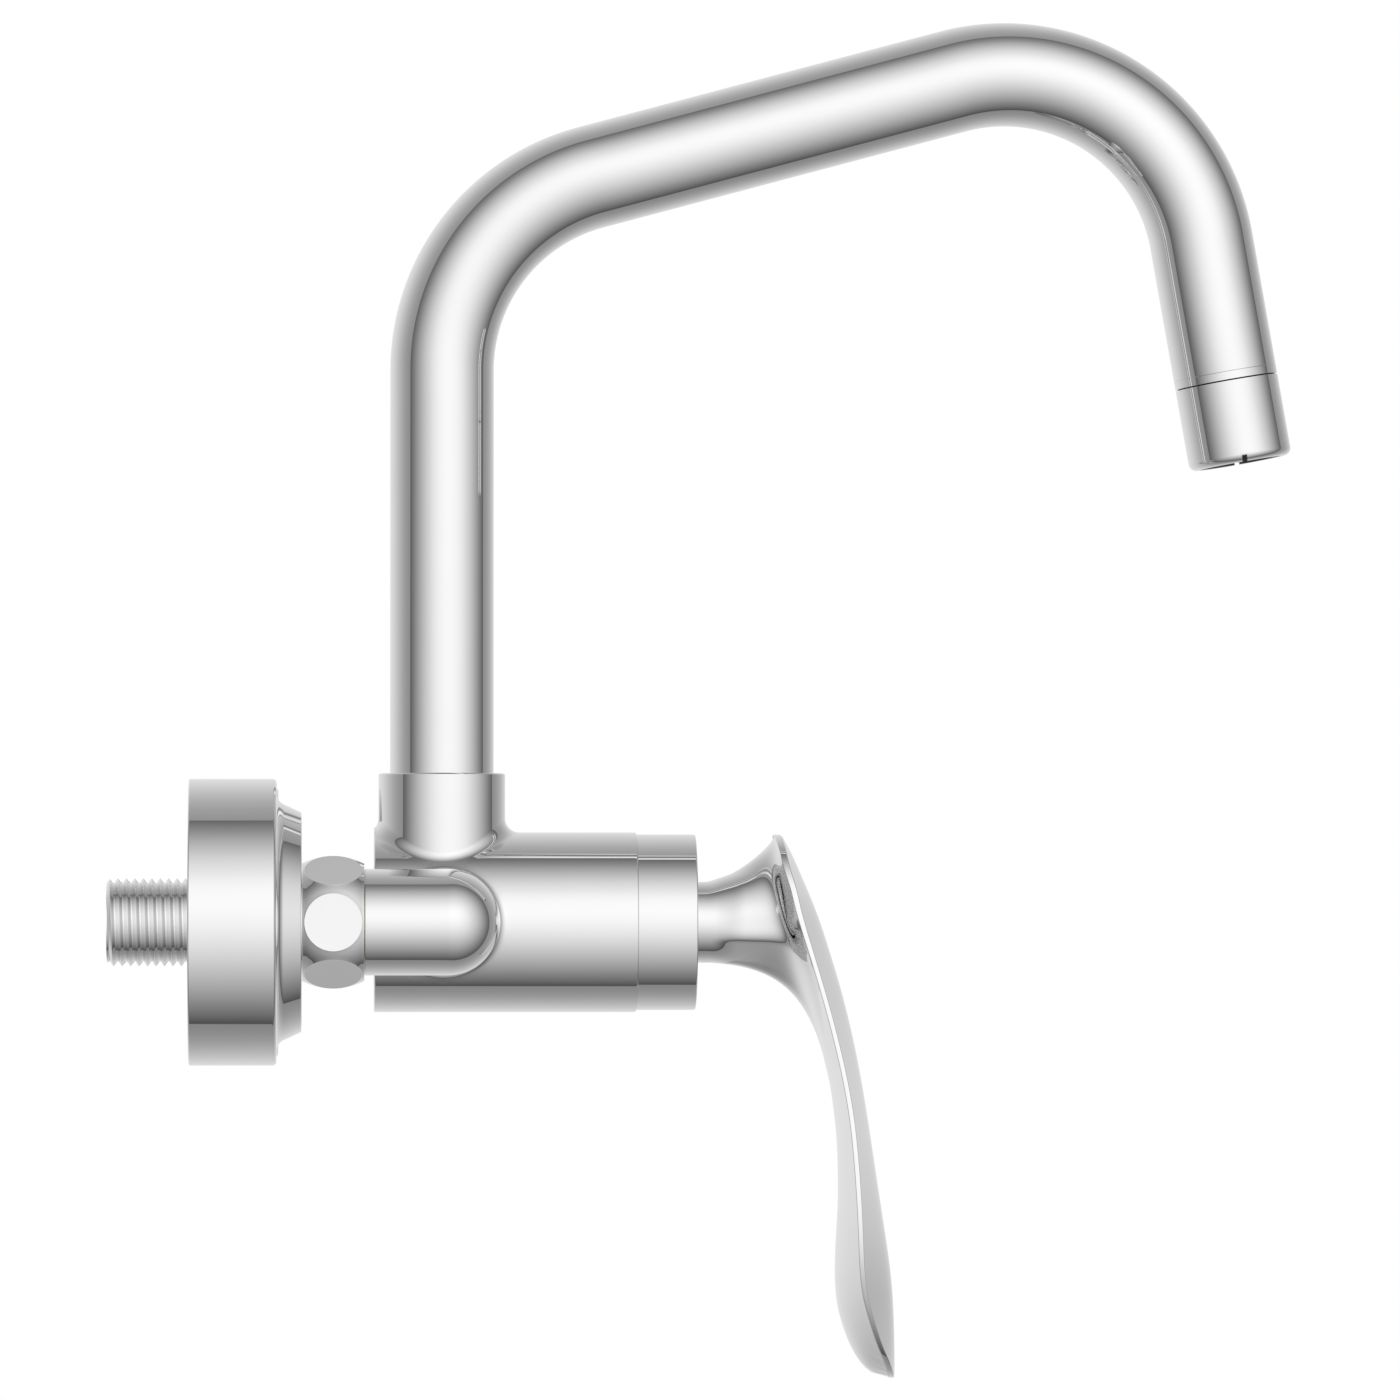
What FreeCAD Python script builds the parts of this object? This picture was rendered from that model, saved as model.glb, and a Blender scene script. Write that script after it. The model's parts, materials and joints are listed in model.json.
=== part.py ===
import FreeCAD, Part
import math
import os
import re
import Sketcher
from FreeCAD import Placement, Rotation, Vector

# Wall-mounted single-lever kitchen mixer, in millimetres.
# Design frame of every sub-part: +Y is the reach forward from the wall, +Z is up,
# the origin lies on the wall midway between the two inlets.
# Each finished sub-part is turned half round, so that in the row +Y points into the wall.

SIZES = {
    # Wall connectors: G1/2 towards the wall, G3/4 in the union nut
    "inlet_spacing": 150.0,
    "inlet_thread_radius": 10.48,
    "inlet_thread_length": 19.4,
    "connector_taper": 3.0,
    "connector_radius": 12.6,
    "connector_bore": 6.0,
    "connector_key_depth": 9.0,
    # Escutcheons
    "escutcheon_radius": 34.0,
    "escutcheon_rim_depth": 20.8,
    "escutcheon_corner": 1.0,
    "escutcheon_step_radius": 30.7,
    "escutcheon_flare": 3.0,
    "escutcheon_cone_radius": 27.985,
    "escutcheon_cone_start": 22.525,
    "escutcheon_lip_radius": 26.05,
    "escutcheon_depth": 26.7,
    "escutcheon_wall": 1.6,
    "escutcheon_hub_wall": 2.2,
    "escutcheon_hub_length": 6.0,
    # Union nuts with six round flats
    "nut_ball_radius": 15.75,
    "nut_centre": 34.25,
    "nut_half_length": 7.35,
    "nut_flat_reach": 14.18,
    "nut_lip": 3.0,
    # Flanged bushes that hold the nuts, and their washers
    "bush_radius": 9.6,
    "bush_bore": 6.5,
    "bush_flange": 2.7,
    "bush_thread_length": 12.3,
    "washer_thickness": 2.0,
    "washer_bore": 7.0,
    # Cast body
    "barrel_radius": 22.0,
    "barrel_rear": 44.4,
    "barrel_front": 108.5,
    "arm_axis": 61.3,
    "arm_radius": 12.65,
    "arm_fillet": 3.0,
    "waterway_radius": 8.0,
    "waterway_end": 6.0,
    "spout_axis": 61.0,
    "socket_radius": 15.5,
    "socket_top": 36.4,
    "socket_fillet": 3.5,
    "socket_bore": 12.0,
    "socket_depth": 15.5,
    "socket_passage": 4.5,
    "socket_screw_height": 27.5,
    # Cartridge, a 35 mm ceramic one
    "cartridge_seat": 74.0,
    "cartridge_radius": 17.4,
    "cartridge_wall": 2.0,
    "base_thickness": 4.5,
    "base_upstand": 2.0,
    "locating_pin_radius": 2.0,
    "locating_pin_length": 2.8,
    "locating_pin_spread": 13.0,
    "locating_pin_height": 5.0,
    "port_spread": 5.5,
    "port_drop": 4.5,
    "port_radius": 2.6,
    "outlet_port_height": 6.5,
    "outlet_port_radius": 3.4,
    "port_seal_width": 1.6,
    "port_seal_thickness": 2.0,
    "gasket_radius": 11.9,
    "gasket_thickness": 1.0,
    "fixed_disc_radius": 13.0,
    "disc_thickness": 3.5,
    "moving_disc_radius": 12.1,
    "mixing_recess": 2.0,
    "carrier_flange": 3.5,
    "carrier_hub_radius": 5.5,
    "carrier_hub_length": 8.2,
    "carrier_bore_depth": 4.6,
    "turret_flange": 4.0,
    "turret_neck_radius": 11.4,
    "turret_top_over_pivot": 3.4,
    "housing_shoulder": 6.7,
    "housing_neck_radius": 13.8,
    "housing_neck_over_pivot": 2.5,
    # Cartridge nut and cover ring
    "cartridge_nut_radius": 19.0,
    "cartridge_nut_flange": 2.5,
    "cartridge_nut_length": 15.2,
    "cartridge_nut_wall": 3.0,
    "nut_slot_width": 4.0,
    "nut_slot_depth": 3.0,
    "ring_radius": 21.5,
    "ring_length": 14.6,
    "ring_thread_length": 6.8,
    "ring_mouth_radius": 19.4,
    "ring_edge": 0.4,
    # Spindle and lever motion
    "lever_pivot": 110.0,
    "tilt_range": 25.0,
    "spindle_arm": 14.0,
    "spindle_arm_radius": 2.1,
    "spindle_ball_radius": 3.0,
    "spindle_width": 8.0,
    "spindle_length": 19.5,
    "spindle_heel": 4.5,
    "pivot_pin_radius": 2.0,
    # Lever
    "hub_skirt_radius": 15.5,
    "hub_skirt_wall": 1.0,
    "hub_skirt_angle": 75.0,
    "hub_face_over_pivot": 8.6,
    "stem_radius": 9.9,
    "stem_collar_reach": 15.0,
    "lever_screw_reach": 17.5,
    "lever_screw_radius": 2.5,
    "lever_screw_length": 4.0,
    "lever_cap_radius": 3.2,
    "lever_cap_thickness": 1.2,
    "lever_cap_drop": 0.05,
    "blade_reach": 33.0,
    "blade_top": 21.5,
    "blade_rim": 1.3,
    "blade_head_radius": 20.0,
    "blade_head_corner": 9.0,
    # Spout tube
    "tube_radius": 12.7,
    "tube_bore": 11.2,
    "riser_height": 135.3,
    "bend_radius": 49.15,
    "spout_rise": 15.0,
    "spout_run": 92.3,
    "outlet_lean": 10.0,
    "outlet_run": 55.7,
    # Spigot, slip ring, O-rings and grub screw of the swivel
    "spigot_bore": 8.0,
    "spigot_length": 13.8,
    "spigot_press_length": 14.0,
    "slip_ring_radius": 13.5,
    "slip_ring_thickness": 1.0,
    "tube_sink": 1.2,
    "oring_section": 0.78,
    "oring_groove": 1.6,
    "oring_spread": 4.75,
    "groove_width": 5.6,
    "groove_depth": 1.45,
    "socket_screw_radius": 2.5,
    "socket_screw_length": 4.0,
    # Outlet: ferrule, aerator shell, insert and washer
    "shell_length": 20.1,
    "shell_bore": 11.0,
    "shell_lip": 1.6,
    "shell_mouth": 10.3,
    "shell_corner": 2.0,
    "shell_notch_width": 1.25,
    "shell_notch_depth": 1.5,
    "shell_joint": 0.25,
    "insert_length": 5.9,
    "insert_recess": 2.0,
    "insert_rim": 0.1,
    "insert_bore": 8.9,
    "insert_hole_radius": 0.9,
    "insert_ring_radius": 7.2,
    "outlet_washer_thickness": 2.0,
    "outlet_washer_bore": 8.0,
    "ferrule_band": 2.3,
    "ferrule_sleeve": 9.0,
    "ferrule_bore": 8.5,
    # Named clearances
    "thread_gap": 0.05,
    "running_gap": 0.05,
    "loose_gap": 0.3,
    "leg_gap": 0.1,
}

# Cross sections of the lever stem after its round collar, leaning into the plane of the blade:
# top point ahead of the blade's base and its height, bottom point ahead of it and its depth, half width
STEM = [
    (-12.0, 11.8, -11.0, 10.3, 10.2),
    (-6.4, 15.2, -3.5, 12.0, 11.0),
    (-2.4, 18.9, 3.5, 17.0, 12.6),
    (0.1, 21.1, 8.8, 25.6, 15.0),
    (2.2, 17.5, 13.2, 34.0, 16.5),
]

# Cross sections of the blade: height, half width, rim ahead of the blade's base,
# bulge of the front face, bulge of the back face
BLADE = [
    (22.5, 18.0, 0.0, 0.3, 0.3),
    (14.7, 18.2, 1.6, 2.5, 0.9),
    (6.0, 18.5, 3.9, 4.0, 1.6),
    (-8.0, 19.7, 7.8, 4.9, 1.8),
    (-25.0, 21.0, 12.7, 4.7, 2.0),
    (-46.0, 22.8, 17.1, 4.5, 2.3),
    (-60.0, 23.7, 18.5, 5.0, 2.7),
    (-71.5, 24.0, 19.2, 5.9, 3.4),
    (-82.0, 22.9, 19.8, 7.1, 4.6),
    (-91.0, 20.0, 20.9, 6.9, 5.5),
    (-98.5, 16.1, 23.0, 5.2, 6.2),
    (-104.3, 11.7, 25.2, 3.1, 6.0),
    (-108.0, 8.2, 26.8, 1.6, 5.2),
    (-110.4, 4.8, 28.0, 0.4, 3.6),
    (-111.6, 2.2, 28.4, 0.1, 1.8),
]

for number, (top_ahead, top, bottom_ahead, bottom, half) in enumerate(STEM):
    SIZES[f"stem_top_ahead_{number}"] = top_ahead
    SIZES[f"stem_top_{number}"] = top
    SIZES[f"stem_bottom_ahead_{number}"] = bottom_ahead
    SIZES[f"stem_bottom_{number}"] = bottom
    SIZES[f"stem_half_{number}"] = half
for number, (height, half, ahead, front, back) in enumerate(BLADE):
    SIZES[f"blade_height_{number}"] = height
    SIZES[f"blade_half_{number}"] = half
    SIZES[f"blade_ahead_{number}"] = ahead
    SIZES[f"blade_front_{number}"] = front
    SIZES[f"blade_back_{number}"] = back

doc = FreeCAD.newDocument("mixer_tap")
sheet = doc.addObject("Spreadsheet::Sheet", "dims")
for row, (name, size) in enumerate(SIZES.items(), start=1):
    sheet.set(f"A{row}", name)
    sheet.set(f"B{row}", str(size))
    sheet.setAlias(f"B{row}", name)
doc.recompute()

# Places worked out from the sizes, as expressions along the reach
NUT_FRONT = "(nut_centre + nut_half_length)"
NUT_REAR = "(nut_centre - nut_half_length)"
BUSH_FRONT = f"({NUT_FRONT} - nut_lip)"
BUSH_REAR = f"({BUSH_FRONT} - bush_flange)"
CONNECTOR_END = f"({BUSH_REAR} - washer_thickness)"
LEG_END = f"({NUT_FRONT} + leg_gap)"
BASE_TOP = "(cartridge_seat + base_thickness)"
FIXED_TOP = f"({BASE_TOP} + disc_thickness)"
MOVING_TOP = f"({FIXED_TOP} + disc_thickness)"
CARRIER_TOP = f"({MOVING_TOP} + carrier_flange)"
TURRET_BASE = f"({CARRIER_TOP} + running_gap)"
TURRET_STEP = f"({TURRET_BASE} + turret_flange)"
HOUSING_STEP = f"({TURRET_STEP} + running_gap)"
HOUSING_TOP = f"({HOUSING_STEP} + housing_shoulder)"
NUT_TOP = f"({HOUSING_TOP} + cartridge_nut_length)"
RING_FRONT = "(barrel_front + ring_length)"
HUB_FACE = "(lever_pivot + hub_face_over_pivot)"
BLADE_BASE = "(lever_pivot + blade_reach)"
BALL_RISE = "(spindle_arm * sin(tilt_range / 2))"
BALL_REACH = "(lever_pivot - spindle_arm * cos(tilt_range / 2))"
TUBE_START = "(socket_top - tube_sink)"
SLIP_BASE = f"({TUBE_START} - slip_ring_thickness)"
FIRST_TURN = "(90 - spout_rise)"
LAST_TURN = "(90 + spout_rise - outlet_lean)"
TUBE_END_RUN = "(outlet_run - shell_length - ferrule_band)"
OUTLET_REACH = (
    "(spout_axis + bend_radius * (1 - sin(spout_rise)) + spout_run * cos(spout_rise)"
    " + bend_radius * (sin(spout_rise) + cos(outlet_lean)) + outlet_run * sin(outlet_lean))"
)
OUTLET_HEIGHT = (
    "(riser_height + bend_radius * cos(spout_rise) + spout_run * sin(spout_rise)"
    " - bend_radius * (cos(spout_rise) - sin(outlet_lean)) - outlet_run * cos(outlet_lean))"
)
INSERT_TOP = "(insert_recess + insert_length)"
WASHER_TOP = f"({INSERT_TOP} + outlet_washer_thickness)"

PARTS = []
CUTS = []


def bound(text):
    """The formula with each size name pointing at its cell."""
    return re.sub(r"[a-z]\w*", lambda word: f"dims.{word[0]}" if word[0] in SIZES else word[0], text)


def value(text):
    result = sheet.evalExpression(bound(text))
    return float(getattr(result, "Value", result))


def place(piece, reach="0", height="0", side="0", turn=None):
    """Put a finished sub-part in the row: turned half round, at a reach, height and side."""
    piece.Placement = Placement(Vector(0, 0, 0), turn or Rotation(Vector(0, 0, 1), 180))
    for axis, text in (("x", side), ("y", f"-({reach})"), ("z", height)):
        if text not in ("0", "-(0)"):
            piece.setExpression(f"Placement.Base.{axis}", bound(text))


def finished(label, piece):
    piece.Label = label
    PARTS.append(piece)
    return piece


def new_body(label):
    body = doc.addObject("PartDesign::Body", f"{label}_body")
    body.AllowCompound = True
    return body


def sketch_on(body, role, name, offset=None):
    plane = [item for item in body.Origin.OriginFeatures if item.Role == role][0]
    sketch = body.newObject("Sketcher::SketchObject", name)
    sketch.AttachmentSupport = [(plane, "")]
    sketch.MapMode = "FlatFace"
    if offset:
        sketch.setExpression("AttachmentOffset.Base.z", bound(offset))
    return sketch


def fix_point(sketch, edge, end, across, along):
    for kind, axis, text in (("DistanceX", -2, across), ("DistanceY", -1, along)):
        if text == "0":
            sketch.addConstraint(Sketcher.Constraint("PointOnObject", edge, end, axis))
        else:
            rule = sketch.addConstraint(Sketcher.Constraint(kind, edge, end, value(text)))
            sketch.setExpression(f"Constraints[{rule}]", bound(text))


def arc_between(start, end, radius, turn):
    """Short arc from start to end; turn is +1 for counter-clockwise and -1 for clockwise."""
    chord = end - start
    height = math.sqrt(max(radius ** 2 - chord.Length ** 2 / 4, 0))
    normal = Vector(-chord.y, chord.x, 0).normalize()
    centre = (start + end) * 0.5 + normal * height * turn
    first, last = (start, end) if turn > 0 else (end, start)
    angles = [math.atan2(point.y - centre.y, point.x - centre.x) for point in (first, last)]
    circle = Part.Circle(centre, Vector(0, 0, 1), radius)
    return Part.ArcOfCircle(circle, angles[0], angles[1])


def outline(sketch, corners):
    """Closed outline; a corner is (across, along) or, before an arc, (across, along, radius, turn)."""
    points = [Vector(value(corner[0]), value(corner[1]), 0) for corner in corners]
    ends = []
    for number, corner in enumerate(corners):
        start, end = points[number], points[(number + 1) % len(points)]
        if len(corner) == 2:
            ends.append((sketch.addGeometry(Part.LineSegment(start, end)), 1, 2))
        else:
            edge = sketch.addGeometry(arc_between(start, end, value(corner[2]), corner[3]))
            ends.append((edge, 1, 2) if corner[3] > 0 else (edge, 2, 1))
    for number, corner in enumerate(corners):
        edge, start, end = ends[number]
        following = ends[(number + 1) % len(ends)]
        sketch.addConstraint(Sketcher.Constraint("Coincident", edge, end, following[0], following[1]))
        fix_point(sketch, edge, start, corner[0], corner[1])
        if len(corner) > 2:
            rule = sketch.addConstraint(Sketcher.Constraint("Radius", edge, value(corner[2])))
            sketch.setExpression(f"Constraints[{rule}]", bound(corner[2]))


def circle_in(sketch, across, along, radius):
    centre = Vector(value(across), value(along), 0)
    edge = sketch.addGeometry(Part.Circle(centre, Vector(0, 0, 1), value(radius)))
    fix_point(sketch, edge, 3, across, along)
    rule = sketch.addConstraint(Sketcher.Constraint("Radius", edge, value(radius)))
    sketch.setExpression(f"Constraints[{rule}]", bound(radius))


def turned(label, role, corners):
    """Body turned about the vertical axis of its sketch plane."""
    body = new_body(label)
    sketch = sketch_on(body, role, f"{label}_profile")
    outline(sketch, corners)
    feature = body.newObject("PartDesign::Revolution", f"{label}_turning")
    feature.Profile = sketch
    feature.ReferenceAxis = (sketch, ["V_Axis"])
    feature.Angle = 360
    return body


def solid_tool(body, kind, name, sizes, at, axis=Vector(0, 0, 1)):
    """Added or cut primitive with bound sizes, its own Z axis turned to the given direction."""
    tool = body.newObject(f"PartDesign::{kind}", name)
    for prop, text in sizes.items():
        tool.setExpression(prop, bound(text))
    tool.Placement = Placement(Vector(0, 0, 0), Rotation(Vector(0, 0, 1), axis))
    for letter, text in zip("xyz", at):
        if text != "0":
            tool.setExpression(f"Placement.Base.{letter}", bound(text))
    if kind.startswith("Subtractive"):
        CUTS.append(tool)
    return tool


def drilled(body, name, radius, length, at, axis):
    return solid_tool(body, "SubtractiveCylinder", name, {"Radius": radius, "Height": length}, at, axis)


def milled(body, name, width, length, height, at):
    """Box cut of a width across, a length along the reach and a height, centred across and up."""
    corner = (f"{at[0]} - ({width}) / 2", at[1], f"{at[2]} - ({height}) / 2")
    sizes = {"Length": width, "Width": length, "Height": height}
    return solid_tool(body, "SubtractiveBox", name, sizes, corner)


def bored(body, name, sketch, length):
    """Pocket of a sketch, to both sides of its plane."""
    pocket = body.newObject("PartDesign::Pocket", name)
    pocket.Profile = sketch
    pocket.Midplane = True
    pocket.setExpression("Length", bound(length))
    CUTS.append(pocket)
    return pocket


def repeated_round(body, feature, name, axis_role, count):
    axis = [item for item in body.Origin.OriginFeatures if item.Role == axis_role][0]
    pattern = body.newObject("PartDesign::PolarPattern", name)
    pattern.Originals = [feature]
    pattern.Axis = (axis, [""])
    pattern.Angle = 360
    pattern.Occurrences = count
    body.Tip = pattern
    return pattern


FORWARD = Vector(0, 1, 0)
BACKWARD = Vector(0, -1, 0)
UPWARD = Vector(0, 0, 1)
SIDEWAYS = Vector(1, 0, 0)
SIDES = (("left", "-inlet_spacing / 2"), ("right", "inlet_spacing / 2"))


def wall_connector(side, offset):
    label = f"wall_connector_{side}"
    body = turned(label, "XY_Plane", [
        ("connector_bore", "-inlet_thread_length"),
        ("inlet_thread_radius", "-inlet_thread_length"),
        ("inlet_thread_radius", "0"),
        ("connector_radius", "connector_taper"),
        ("connector_radius", CONNECTOR_END),
        ("connector_bore", CONNECTOR_END),
    ])
    doc.recompute()
    key = sketch_on(body, "XZ_Plane", f"{label}_key", f"-{CONNECTOR_END}")
    corner = "(connector_bore / cos(30))"
    outline(key, [
        (corner, "0"),
        (f"{corner} / 2", "connector_bore"),
        (f"-{corner} / 2", "connector_bore"),
        (f"-{corner}", "0"),
        (f"-{corner} / 2", "-connector_bore"),
        (f"{corner} / 2", "-connector_bore"),
    ])
    bored(body, f"{label}_key_socket", key, "2 * connector_key_depth")
    place(body, side=offset)
    finished(label, body)


def escutcheon(side, offset):
    label = f"escutcheon_{side}"
    bore = "(connector_radius + thread_gap)"
    inner = "(escutcheon_radius - escutcheon_wall)"
    body = turned(label, "XY_Plane", [
        (inner, "0"),
        ("escutcheon_radius", "0"),
        ("escutcheon_radius", "escutcheon_rim_depth - escutcheon_corner", "escutcheon_corner", 1),
        ("escutcheon_radius - escutcheon_corner", "escutcheon_rim_depth"),
        ("escutcheon_step_radius", "escutcheon_rim_depth", "escutcheon_flare", -1),
        ("escutcheon_cone_radius", "escutcheon_cone_start"),
        ("escutcheon_lip_radius", "escutcheon_depth"),
        (bore, "escutcheon_depth"),
        (bore, "escutcheon_depth - escutcheon_hub_length"),
        (f"{bore} + escutcheon_hub_wall", "escutcheon_depth - escutcheon_hub_length"),
        (f"{bore} + escutcheon_hub_wall", "escutcheon_depth - escutcheon_wall"),
        ("escutcheon_lip_radius - escutcheon_hub_wall", "escutcheon_depth - escutcheon_wall"),
        ("escutcheon_step_radius - escutcheon_wall", "escutcheon_rim_depth - escutcheon_wall"),
        (inner, "escutcheon_rim_depth - escutcheon_wall"),
    ])
    place(body, side=offset)
    finished(label, body)


def union_nut(side, offset):
    label = f"union_nut_{side}"
    end_radius = "(sqrt(nut_ball_radius * nut_ball_radius - nut_half_length * nut_half_length))"
    bore = "(connector_radius + thread_gap)"
    lip_bore = "(bush_radius + loose_gap)"
    body = turned(label, "XY_Plane", [
        (bore, NUT_REAR),
        (end_radius, NUT_REAR, "nut_ball_radius", 1),
        (end_radius, NUT_FRONT),
        (lip_bore, NUT_FRONT),
        (lip_bore, BUSH_FRONT),
        (bore, BUSH_FRONT),
    ])
    doc.recompute()
    flat = sketch_on(body, "XY_Plane", f"{label}_flat")
    outline(flat, [
        ("nut_flat_reach", f"{NUT_REAR} - loose_gap"),
        ("nut_ball_radius + loose_gap", f"{NUT_REAR} - loose_gap"),
        ("nut_ball_radius + loose_gap", f"{NUT_FRONT} + loose_gap"),
        ("nut_flat_reach", f"{NUT_FRONT} + loose_gap"),
    ])
    cut = bored(body, f"{label}_flat_cut", flat, "2 * nut_ball_radius")
    repeated_round(body, cut, f"{label}_flats", "Y_Axis", 6)
    place(body, side=offset)
    finished(label, body)


def inlet_bush(side, offset):
    label = f"inlet_bush_{side}"
    flange = "(connector_radius - loose_gap)"
    body = turned(label, "XY_Plane", [
        ("bush_bore", BUSH_REAR),
        (flange, BUSH_REAR),
        (flange, BUSH_FRONT),
        ("bush_radius", BUSH_FRONT),
        ("bush_radius", f"{LEG_END} + bush_thread_length"),
        ("bush_bore", f"{LEG_END} + bush_thread_length"),
    ])
    place(body, side=offset)
    finished(label, body)


def union_washer(side, offset):
    label = f"union_washer_{side}"
    rim = "(connector_radius - loose_gap)"
    body = turned(label, "XY_Plane", [
        ("washer_bore", CONNECTOR_END),
        (rim, CONNECTOR_END),
        (rim, BUSH_REAR),
        ("washer_bore", BUSH_REAR),
    ])
    place(body, side=offset)
    finished(label, body)


def circular_edges_near(shape, picks):
    """Names of the edges whose every sampled point satisfies the test."""
    names = []
    for number, edge in enumerate(shape.Edges, start=1):
        points = edge.discretize(9)
        if all(picks(point) for point in points):
            names.append(f"Edge{number}")
    return names


def body_casting():
    """Barrel, spout socket and two arms with ball-cornered legs, then the bores."""
    body = new_body("body_casting")
    barrel_stock = "(barrel_rear - 2 * socket_fillet)"
    solid_tool(body, "AdditiveCylinder", "barrel",
               {"Radius": "barrel_radius", "Height": f"barrel_front - {barrel_stock}"},
               ("0", barrel_stock, "0"), FORWARD)
    socket = solid_tool(body, "AdditiveCylinder", "socket",
                        {"Radius": "socket_radius", "Height": "socket_top"},
                        ("0", "spout_axis", "0"))
    doc.recompute()
    axis_reach, socket_radius = value("spout_axis"), value("socket_radius")
    barrel_radius = value("barrel_radius")

    def on_socket_foot(point):
        off_socket = math.hypot(point.x, point.y - axis_reach) - socket_radius
        off_barrel = math.hypot(point.x, point.z) - barrel_radius
        return abs(off_socket) < 0.01 and abs(off_barrel) < 0.01

    foot = body.newObject("PartDesign::Fillet", "socket_foot")
    foot.Base = (socket, circular_edges_near(socket.Shape, on_socket_foot))
    foot.setExpression("Radius", bound("socket_fillet"))
    doc.recompute()
    milled(body, "rear_facing", "3 * barrel_radius", f"barrel_rear - {barrel_stock} + socket_fillet",
           "4 * barrel_radius", ("0", f"{barrel_stock} - socket_fillet", "0"))
    arms = solid_tool(body, "AdditiveCylinder", "arms",
                      {"Radius": "arm_radius", "Height": "inlet_spacing"},
                      ("-inlet_spacing / 2", "arm_axis", "0"), SIDEWAYS)
    doc.recompute()
    arm_reach, arm_radius = value("arm_axis"), value("arm_radius")

    def on_arm_foot(point):
        off_arm = math.hypot(point.y - arm_reach, point.z) - arm_radius
        off_barrel = math.hypot(point.x, point.z) - barrel_radius
        return abs(off_arm) < 0.01 and abs(off_barrel) < 0.01

    feet = body.newObject("PartDesign::Fillet", "arm_feet")
    feet.Base = (arms, circular_edges_near(arms.Shape, on_arm_foot))
    feet.setExpression("Radius", bound("arm_fillet"))
    for side, offset in SIDES:
        solid_tool(body, "AdditiveSphere", f"elbow_{side}", {"Radius": "arm_radius"},
                   (offset, "arm_axis", "0"))
        solid_tool(body, "AdditiveCylinder", f"leg_{side}",
                   {"Radius": "arm_radius", "Height": f"arm_axis - {LEG_END}"},
                   (offset, LEG_END, "0"), FORWARD)
    doc.recompute()
    for side, offset in SIDES:
        sign = "-" if side == "left" else ""
        drilled(body, f"bush_thread_{side}", "bush_radius + thread_gap",
                "bush_thread_length + loose_gap", (offset, LEG_END, "0"), FORWARD)
        drilled(body, f"leg_waterway_{side}", "waterway_radius", f"arm_axis - {LEG_END}",
                (offset, LEG_END, "0"), FORWARD)
        solid_tool(body, "SubtractiveSphere", f"elbow_waterway_{side}", {"Radius": "waterway_radius"},
                   (offset, "arm_axis", "0"))
        inward = Vector(1 if side == "left" else -1, 0, 0)
        drilled(body, f"arm_waterway_{side}", "waterway_radius", "inlet_spacing / 2 - waterway_end",
                (offset, "arm_axis", "0"), inward)
        drilled(body, f"inlet_port_{side}", "port_radius", "cartridge_seat - arm_axis",
                (f"{sign}port_spread", "arm_axis", "-port_drop"), FORWARD)
        drilled(body, f"locating_hole_{side}", "locating_pin_radius + loose_gap",
                "locating_pin_length + loose_gap",
                (f"{sign}locating_pin_spread", "cartridge_seat", "locating_pin_height"), BACKWARD)
    drilled(body, "outlet_port", "outlet_port_radius", "cartridge_seat - spout_axis",
            ("0", "spout_axis", "outlet_port_height"), FORWARD)
    drilled(body, "spout_passage", "socket_passage", "socket_top - outlet_port_height",
            ("0", "spout_axis", "outlet_port_height"), UPWARD)
    drilled(body, "spout_bore", "socket_bore", "socket_depth",
            ("0", "spout_axis", "socket_top - socket_depth"), UPWARD)
    drilled(body, "slip_ring_seat", "slip_ring_radius + running_gap", "tube_sink + slip_ring_thickness",
            ("0", "spout_axis", SLIP_BASE), UPWARD)
    drilled(body, "socket_screw_hole", "socket_screw_radius + thread_gap", "socket_radius",
            ("0", "spout_axis", "socket_screw_height"), BACKWARD)
    drilled(body, "cartridge_bore", "cartridge_radius + 3 * running_gap",
            "barrel_front - cartridge_seat", ("0", "cartridge_seat", "0"), FORWARD)
    drilled(body, "nut_thread_bore", "cartridge_nut_radius + thread_gap",
            f"barrel_front - {HOUSING_TOP} + loose_gap", ("0", f"{HOUSING_TOP} - loose_gap", "0"),
            FORWARD)
    place(body)
    finished("body_casting", body)


def cover_ring():
    bore = "(cartridge_nut_radius + thread_gap)"
    thread_end = "(barrel_front + ring_thread_length)"
    body = turned("cover_ring", "XY_Plane", [
        (bore, "barrel_front"),
        ("ring_radius", "barrel_front"),
        ("ring_radius", f"{RING_FRONT} - ring_edge"),
        ("ring_radius - ring_edge", RING_FRONT),
        ("ring_mouth_radius", RING_FRONT),
        ("ring_mouth_radius", thread_end),
        (bore, thread_end),
    ])
    place(body)
    finished("cover_ring", body)


def cartridge_nut():
    inner = "(cartridge_nut_radius - cartridge_nut_wall)"
    neck = "(housing_neck_radius + loose_gap)"
    body = turned("cartridge_nut", "XY_Plane", [
        (neck, HOUSING_TOP),
        ("cartridge_nut_radius", HOUSING_TOP),
        ("cartridge_nut_radius", NUT_TOP),
        (inner, NUT_TOP),
        (inner, f"{HOUSING_TOP} + cartridge_nut_flange"),
        (neck, f"{HOUSING_TOP} + cartridge_nut_flange"),
    ])
    doc.recompute()
    slot = sketch_on(body, "XY_Plane", "cartridge_nut_slot")
    outline(slot, [
        (f"{inner} - loose_gap", f"{NUT_TOP} - nut_slot_depth"),
        ("cartridge_nut_radius + loose_gap", f"{NUT_TOP} - nut_slot_depth"),
        ("cartridge_nut_radius + loose_gap", f"{NUT_TOP} + loose_gap"),
        (f"{inner} - loose_gap", f"{NUT_TOP} + loose_gap"),
    ])
    cut = bored(body, "cartridge_nut_slot_cut", slot, "nut_slot_width")
    repeated_round(body, cut, "cartridge_nut_slots", "Y_Axis", 4)
    place(body)
    finished("cartridge_nut", body)


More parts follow.
